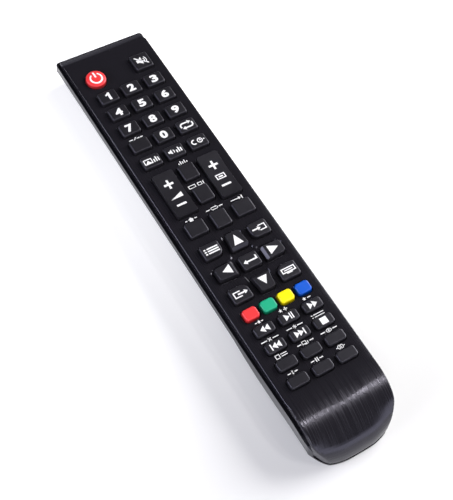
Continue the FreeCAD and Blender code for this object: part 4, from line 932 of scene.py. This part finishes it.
cell = Finish("cell")
middle_y = sum(corner.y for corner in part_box("batteries")) / 2
from_middle = cell.maths("ABSOLUTE", cell.axis("Y") - middle_y, 0.0)
metal_end = from_middle.above(CELL_SLEEVE)
sleeve_grain = cell.noise(1200, 2.0)
sleeve = cell.blend(from_middle.above(CELL_BAND), (0.045, 0.075, 0.16), (0.52, 0.53, 0.55))
cell.relief(sleeve_grain, 0.000006, 0.2)
cell.set(Base_Color=cell.blend(metal_end, sleeve, (0.58, 0.57, 0.55)), Metallic=metal_end * 0.9,
         Roughness=0.22 + sleeve_grain * 0.12)

nickel = grained("nickel", scale=(2200, 400, 2200), detail=3.0, colours=((0.62, 0.60, 0.56), (0.72, 0.71, 0.67)),
                 roughness=(0.2, 0.15), relief=(0.000004, 0.2), Metallic=1.0)

cells_work = merged("batteries")
bevelled(cells_work, CELL_EDGE * MM, CELL_EDGE_TURN)
fitted(piece("battery_cells", cells_work, [cell]), "case", "batteries", "cell")

PLATE_THICKNESS, PLATE_WIDTH, PLATE_EDGE = 0.4, 8.4, 0.08
SPRING_WIRE, SPRING_WIDE, SPRING_NARROW = 0.6, 3.4, 2.1
SPRING_TURNS, SPRING_RISE, SPRING_FOOT = 3.25, 3.8, 0.55


def spring(x, y, z, turn):
    """A conical spring that stands on a plate at a place, wide end first, turned onto the cell's axis."""
    coil = Pattern("conical_spring", {"Turns": SPRING_TURNS, "Wide Radius": SPRING_WIDE * MM,
                                      "Narrow Radius": SPRING_NARROW * MM, "Rise": SPRING_RISE * MM,
                                      "Wire Radius": SPRING_WIRE / 2 * MM})
    path = coil.spiral(28, coil.size("Turns"), coil.size("Wide Radius"), coil.size("Narrow Radius"),
                       coil.size("Rise"))
    wire = coil.drawn(path, 10, coil.size("Wire Radius"))
    work = coil.grown(coil.each(wire), nickel, [(0.0, 0.0, 0.0)])
    place = Matrix.Translation(Vector((x, y, z)) * MM) @ Matrix.Rotation(turn, 4, "X")
    bmesh.ops.transform(work, matrix=place, verts=work.verts)
    return work


def taken_in(work, other):
    """Adds another worked mesh to a worked mesh."""
    mesh = bpy.data.meshes.new("taken_in")
    other.to_mesh(mesh)
    other.free()
    work.from_mesh(mesh)
    bpy.data.meshes.remove(mesh)


contacts_low, contacts_high = box_of("battery_contacts")
reach = contacts_high.x
plates = bmesh.new()
for x0, x1, y0 in ((-reach, reach, contacts_low.y), (-reach, PLATE_WIDTH - reach, contacts_high.y - PLATE_THICKNESS),
                   (reach - PLATE_WIDTH, reach, contacts_high.y - PLATE_THICKNESS)):
    block(plates, (x0, y0, contacts_low.z), (x1, y0 + PLATE_THICKNESS, contacts_high.z))
bevelled(plates, PLATE_EDGE * MM, SHARP_TURN)
spring_x = reach - PLATE_WIDTH / 2
spring_z = (contacts_low.z + contacts_high.z) / 2
for side, foot in ((-1, contacts_low.y + SPRING_FOOT), (1, contacts_high.y - SPRING_FOOT)):
    taken_in(plates, spring(side * spring_x, foot, spring_z, side * math.pi / 2))
fitted(piece("battery_springs", plates, [nickel]), "case", "battery_contacts", "contact")

# Case screws: three self-tapping screws of zinc-plated steel with sunk pan heads and crossed recesses,
# two by the infrared end and one near the nose. They hold the two shells together.
HEAD_RADIUS, HEAD_HEIGHT = 2.4, 1.5
SHANK_RADIUS, SHANK_LENGTH = 0.78, 9.5
RECESS_REACH, RECESS_WIDTH, RECESS_DEPTH = 1.35, 0.55, 0.9
THREAD_PITCH, THREAD_RISE = 0.9, 0.2

steel = grained("zinc_steel", scale=1800, detail=3.0, colours=((0.42, 0.42, 0.43), (0.54, 0.54, 0.55)),
                roughness=(0.28, 0.12), relief=(0.00001, 0.3), Metallic=1.0)

screws_low, screws_high = box_of("case_screws")
screws = Pattern("case_screw", {"Head Radius": HEAD_RADIUS * MM, "Head Height": HEAD_HEIGHT * MM,
                                "Shank Radius": SHANK_RADIUS * MM, "Shank Length": SHANK_LENGTH * MM,
                                "Recess Reach": 2 * RECESS_REACH * MM, "Recess Width": RECESS_WIDTH * MM,
                                "Recess Depth": 2 * RECESS_DEPTH * MM, "Thread Pitch": THREAD_PITCH * MM,
                                "Thread Rise": THREAD_RISE * MM})
head_height, shank_length, pitch = (screws.size(name) for name in ("Head Height", "Shank Length", "Thread Pitch"))
shank_radius, recess_reach, recess_width = (screws.size(name)
                                            for name in ("Shank Radius", "Recess Reach", "Recess Width"))
head = screws.cylinder(40, screws.size("Head Radius"), head_height)
head = screws.moved(head, screws.point(z=head_height / 2))
arms = [screws.node("GeometryNodeMeshCube", {"Size": screws.point(x, y, screws.size("Recess Depth"))})
        for x, y in ((recess_reach, recess_width), (recess_width, recess_reach))]
head = screws.node("GeometryNodeMeshBoolean", {"Mesh 1": head, "Mesh 2": arms}, operation="DIFFERENCE",
                   solver="EXACT")
shank = screws.cylinder(24, shank_radius, shank_length)
shank = screws.moved(shank, screws.point(z=head_height + shank_length / 2))
helix = screws.spiral(16, shank_length / pitch - 1, shank_radius, shank_radius, shank_length - pitch)
thread = screws.drawn(helix, 4, screws.size("Thread Rise"))
thread = screws.moved(thread, screws.point(z=head_height + pitch / 2))
far = screws_high.y - HEAD_RADIUS
near = screws_low.y + HEAD_RADIUS
side = screws_high.x - HEAD_RADIUS
screw_work = screws.grown(screws.each(screws.joined([head, shank, thread])), steel,
                          [(-side, far, screws_low.z), (side, far, screws_low.z), (0.0, near, screws_low.z)])
fitted(piece("case_screw_set", screw_work, [steel]), "case", "case_screws", "steel")

# Battery door: the same gloss black as the back case, with grip ridges, two hooks at the nose end and a
# sprung latch leaf at the other.
DOOR_EDGE = 0.18
GRIP_RIBS, GRIP_PITCH, GRIP_WIDTH, GRIP_FROM_FAR = 6, 2.2, 17.6, 10.3
GRIP_RIB_RADIUS, GRIP_RIB_RISE = 0.4, 0.12

door_work = merged("battery_door")
bevelled(door_work, DOOR_EDGE * MM, SHARP_TURN)
door_low, door_high = box_of("battery_door")
grip = Pattern("grip_rib", {"Width": GRIP_WIDTH * MM, "Radius": GRIP_RIB_RADIUS * MM})
half_rib = grip.size("Width") / 2
rib_line = grip.node("GeometryNodeCurvePrimitiveLine", {"Start": grip.point(x=0 - half_rib),
                                                        "End": grip.point(x=half_rib)})
rib_work = grip.grown(grip.each(grip.drawn(rib_line, 16, grip.size("Radius"))), gloss, [
    (0.0, door_high.y - GRIP_FROM_FAR - GRIP_PITCH * index, door_low.z + GRIP_RIB_RADIUS - GRIP_RIB_RISE)
    for index in range(GRIP_RIBS)])
taken_in(door_work, rib_work)
fitted(piece("battery_cover", door_work, [gloss]), "battery_door", "battery_door", "gloss_black")

# Table top: a plain white sheet of paper under the remote, wide enough to fill the view. It glows with painted light
# for the camera and the remote's gloss, faintly at the near end and more towards the far end, where it lightens the
# remote's shadow.
FLOOR_SIDE, FLOOR_NEAR, FLOOR_FAR = 0.7, -0.7, 0.42
FLOOR_WHITE = 0.80
# Painted light on the paper: its glow at the near end and at the far end, and the lengthwise places between which it
# ramps up.
FLOOR_PAINTED_LIGHT, FLOOR_PAINTED_LIGHT_PLACE = (0.05, 0.55), (-0.13, 0.06)

floor_work = bmesh.new()
floor_work.faces.new([floor_work.verts.new((x, y, 0.0)) for x, y in (
    (-FLOOR_SIDE, FLOOR_NEAR), (FLOOR_SIDE, FLOOR_NEAR), (FLOOR_SIDE, FLOOR_FAR), (-FLOOR_SIDE, FLOOR_FAR))])
paper = Finish("white_paper")
paper_grain = paper.noise(400, 2.0)
seen = paper.node("ShaderNodeLightPath", {}, "Is Camera Ray")
mirrored = paper.node("ShaderNodeLightPath", {}, "Is Glossy Ray")
# Painted light: the paper glows for camera and gloss rays, brighter towards the far end, which paints out the shadow
# there.
painted_floor_light = paper.axis("Y").between(*FLOOR_PAINTED_LIGHT_PLACE) * (FLOOR_PAINTED_LIGHT[1] - FLOOR_PAINTED_LIGHT[0]) + FLOOR_PAINTED_LIGHT[0]
paper.relief(paper_grain, 0.00001, 0.1)
paper.set(Base_Color=(FLOOR_WHITE,) * 3, Roughness=0.9, Specular_IOR_Level=0.1,
          Emission_Color=(seen + mirrored) * painted_floor_light, Emission_Strength=1.0)
floor = piece("table_top", floor_work, [paper])

# Studio light: a broad soft lamp high on the right, a cool one low on the left that draws the keys' edges, a
# weak one in front, and two small ones overhead that make the bright line on the nose. The room glows low down.
LAMP_AIM = (0.0, -0.02, 0.01)
HORIZON, HORIZON_GLOW = (0.27, 0.37), 2.0
BACK, BACK_DIM = (0.12, 0.42), 0.84
ZENITH_GLOW = 0.03


def lamp(name, place, aim, size, power, colour, along=(0.0, 0.0, 0.0)):
    """A soft panel that faces aim, its first side level or along a given direction."""
    light = bpy.data.lights.new(name, "AREA")
    light.shape = "RECTANGLE"
    light.size, light.size_y = size
    light.energy = power
    light.color = colour
    back = (Vector(place) - Vector(aim)).normalized()
    side = Vector(along) if any(along) else Vector((0.0, 0.0, 1.0)).cross(back)
    side = (side - back * side.dot(back)).normalized()
    turned = Matrix((side, back.cross(side), back)).transposed().to_4x4()
    placed(name, light).matrix_world = Matrix.Translation(place) @ turned


lamp("right_lamp", (1.00, 0.15, 0.62), LAMP_AIM, size=(0.9, 0.6), power=19.0, colour=(1.0, 0.99, 0.98))
lamp("left_lamp", (-1.05, 0.25, 0.42), LAMP_AIM, size=(1.0, 0.35), power=10.0, colour=(0.84, 0.85, 1.0))
lamp("front_lamp", (-0.35, -1.0, 0.75), LAMP_AIM, size=(0.9, 0.6), power=6.0, colour=(1.0, 1.0, 1.0))
for name, across, aim_x, power in (("nose_lamp_left", 0.315, -0.021, 0.65), ("nose_lamp_right", 0.51, 0.021, 1.1)):
    lamp(name, (across, -0.33, 1.0), (aim_x, -0.095, 0.017), size=(0.08, 0.10), power=power,
         colour=(1.0, 0.97, 0.96), along=(1, 0, 0))

studio = Finish("studio", world=True)
direction = studio.node("ShaderNodeTexCoord", {}, "Generated")
height = studio.node("ShaderNodeSeparateXYZ", {"Vector": direction}, "Z")
behind = studio.node("ShaderNodeSeparateXYZ", {"Vector": direction}, "Y")
glow = (1 - height.between(*HORIZON)) * (1 - behind.between(*BACK) * BACK_DIM) * HORIZON_GLOW + ZENITH_GLOW
studio.set(Color=(0.86, 0.86, 1.0), Strength=glow)
bpy.context.scene.world = studio.material

# Camera: where the photographer stood, above the remote's left side and a little before its nose. Its place,
# aim, roll and lens were solved from the key grid.
CAMERA_PLACE = Vector((-0.157705, -0.180587, 0.393014))
CAMERA_AIM = Vector((-0.005672, -0.013531, 0.018))
CAMERA_ROLL = math.radians(-12.53)
CAMERA_LENS = 81.424

camera = bpy.data.cameras.new("photo_camera")
camera.sensor_fit = "HORIZONTAL"
camera.lens = CAMERA_LENS
camera.clip_start, camera.clip_end = 0.01, 20.0
eye = placed("photo_camera", camera)
facing = (CAMERA_AIM - CAMERA_PLACE).to_track_quat("-Z", "Y").to_matrix()
eye.matrix_world = Matrix.Translation(CAMERA_PLACE) @ (facing @ Matrix.Rotation(-CAMERA_ROLL, 3, "Z")).to_4x4()
bpy.context.scene.camera = eye
bpy.context.scene.view_settings.view_transform = "Standard"
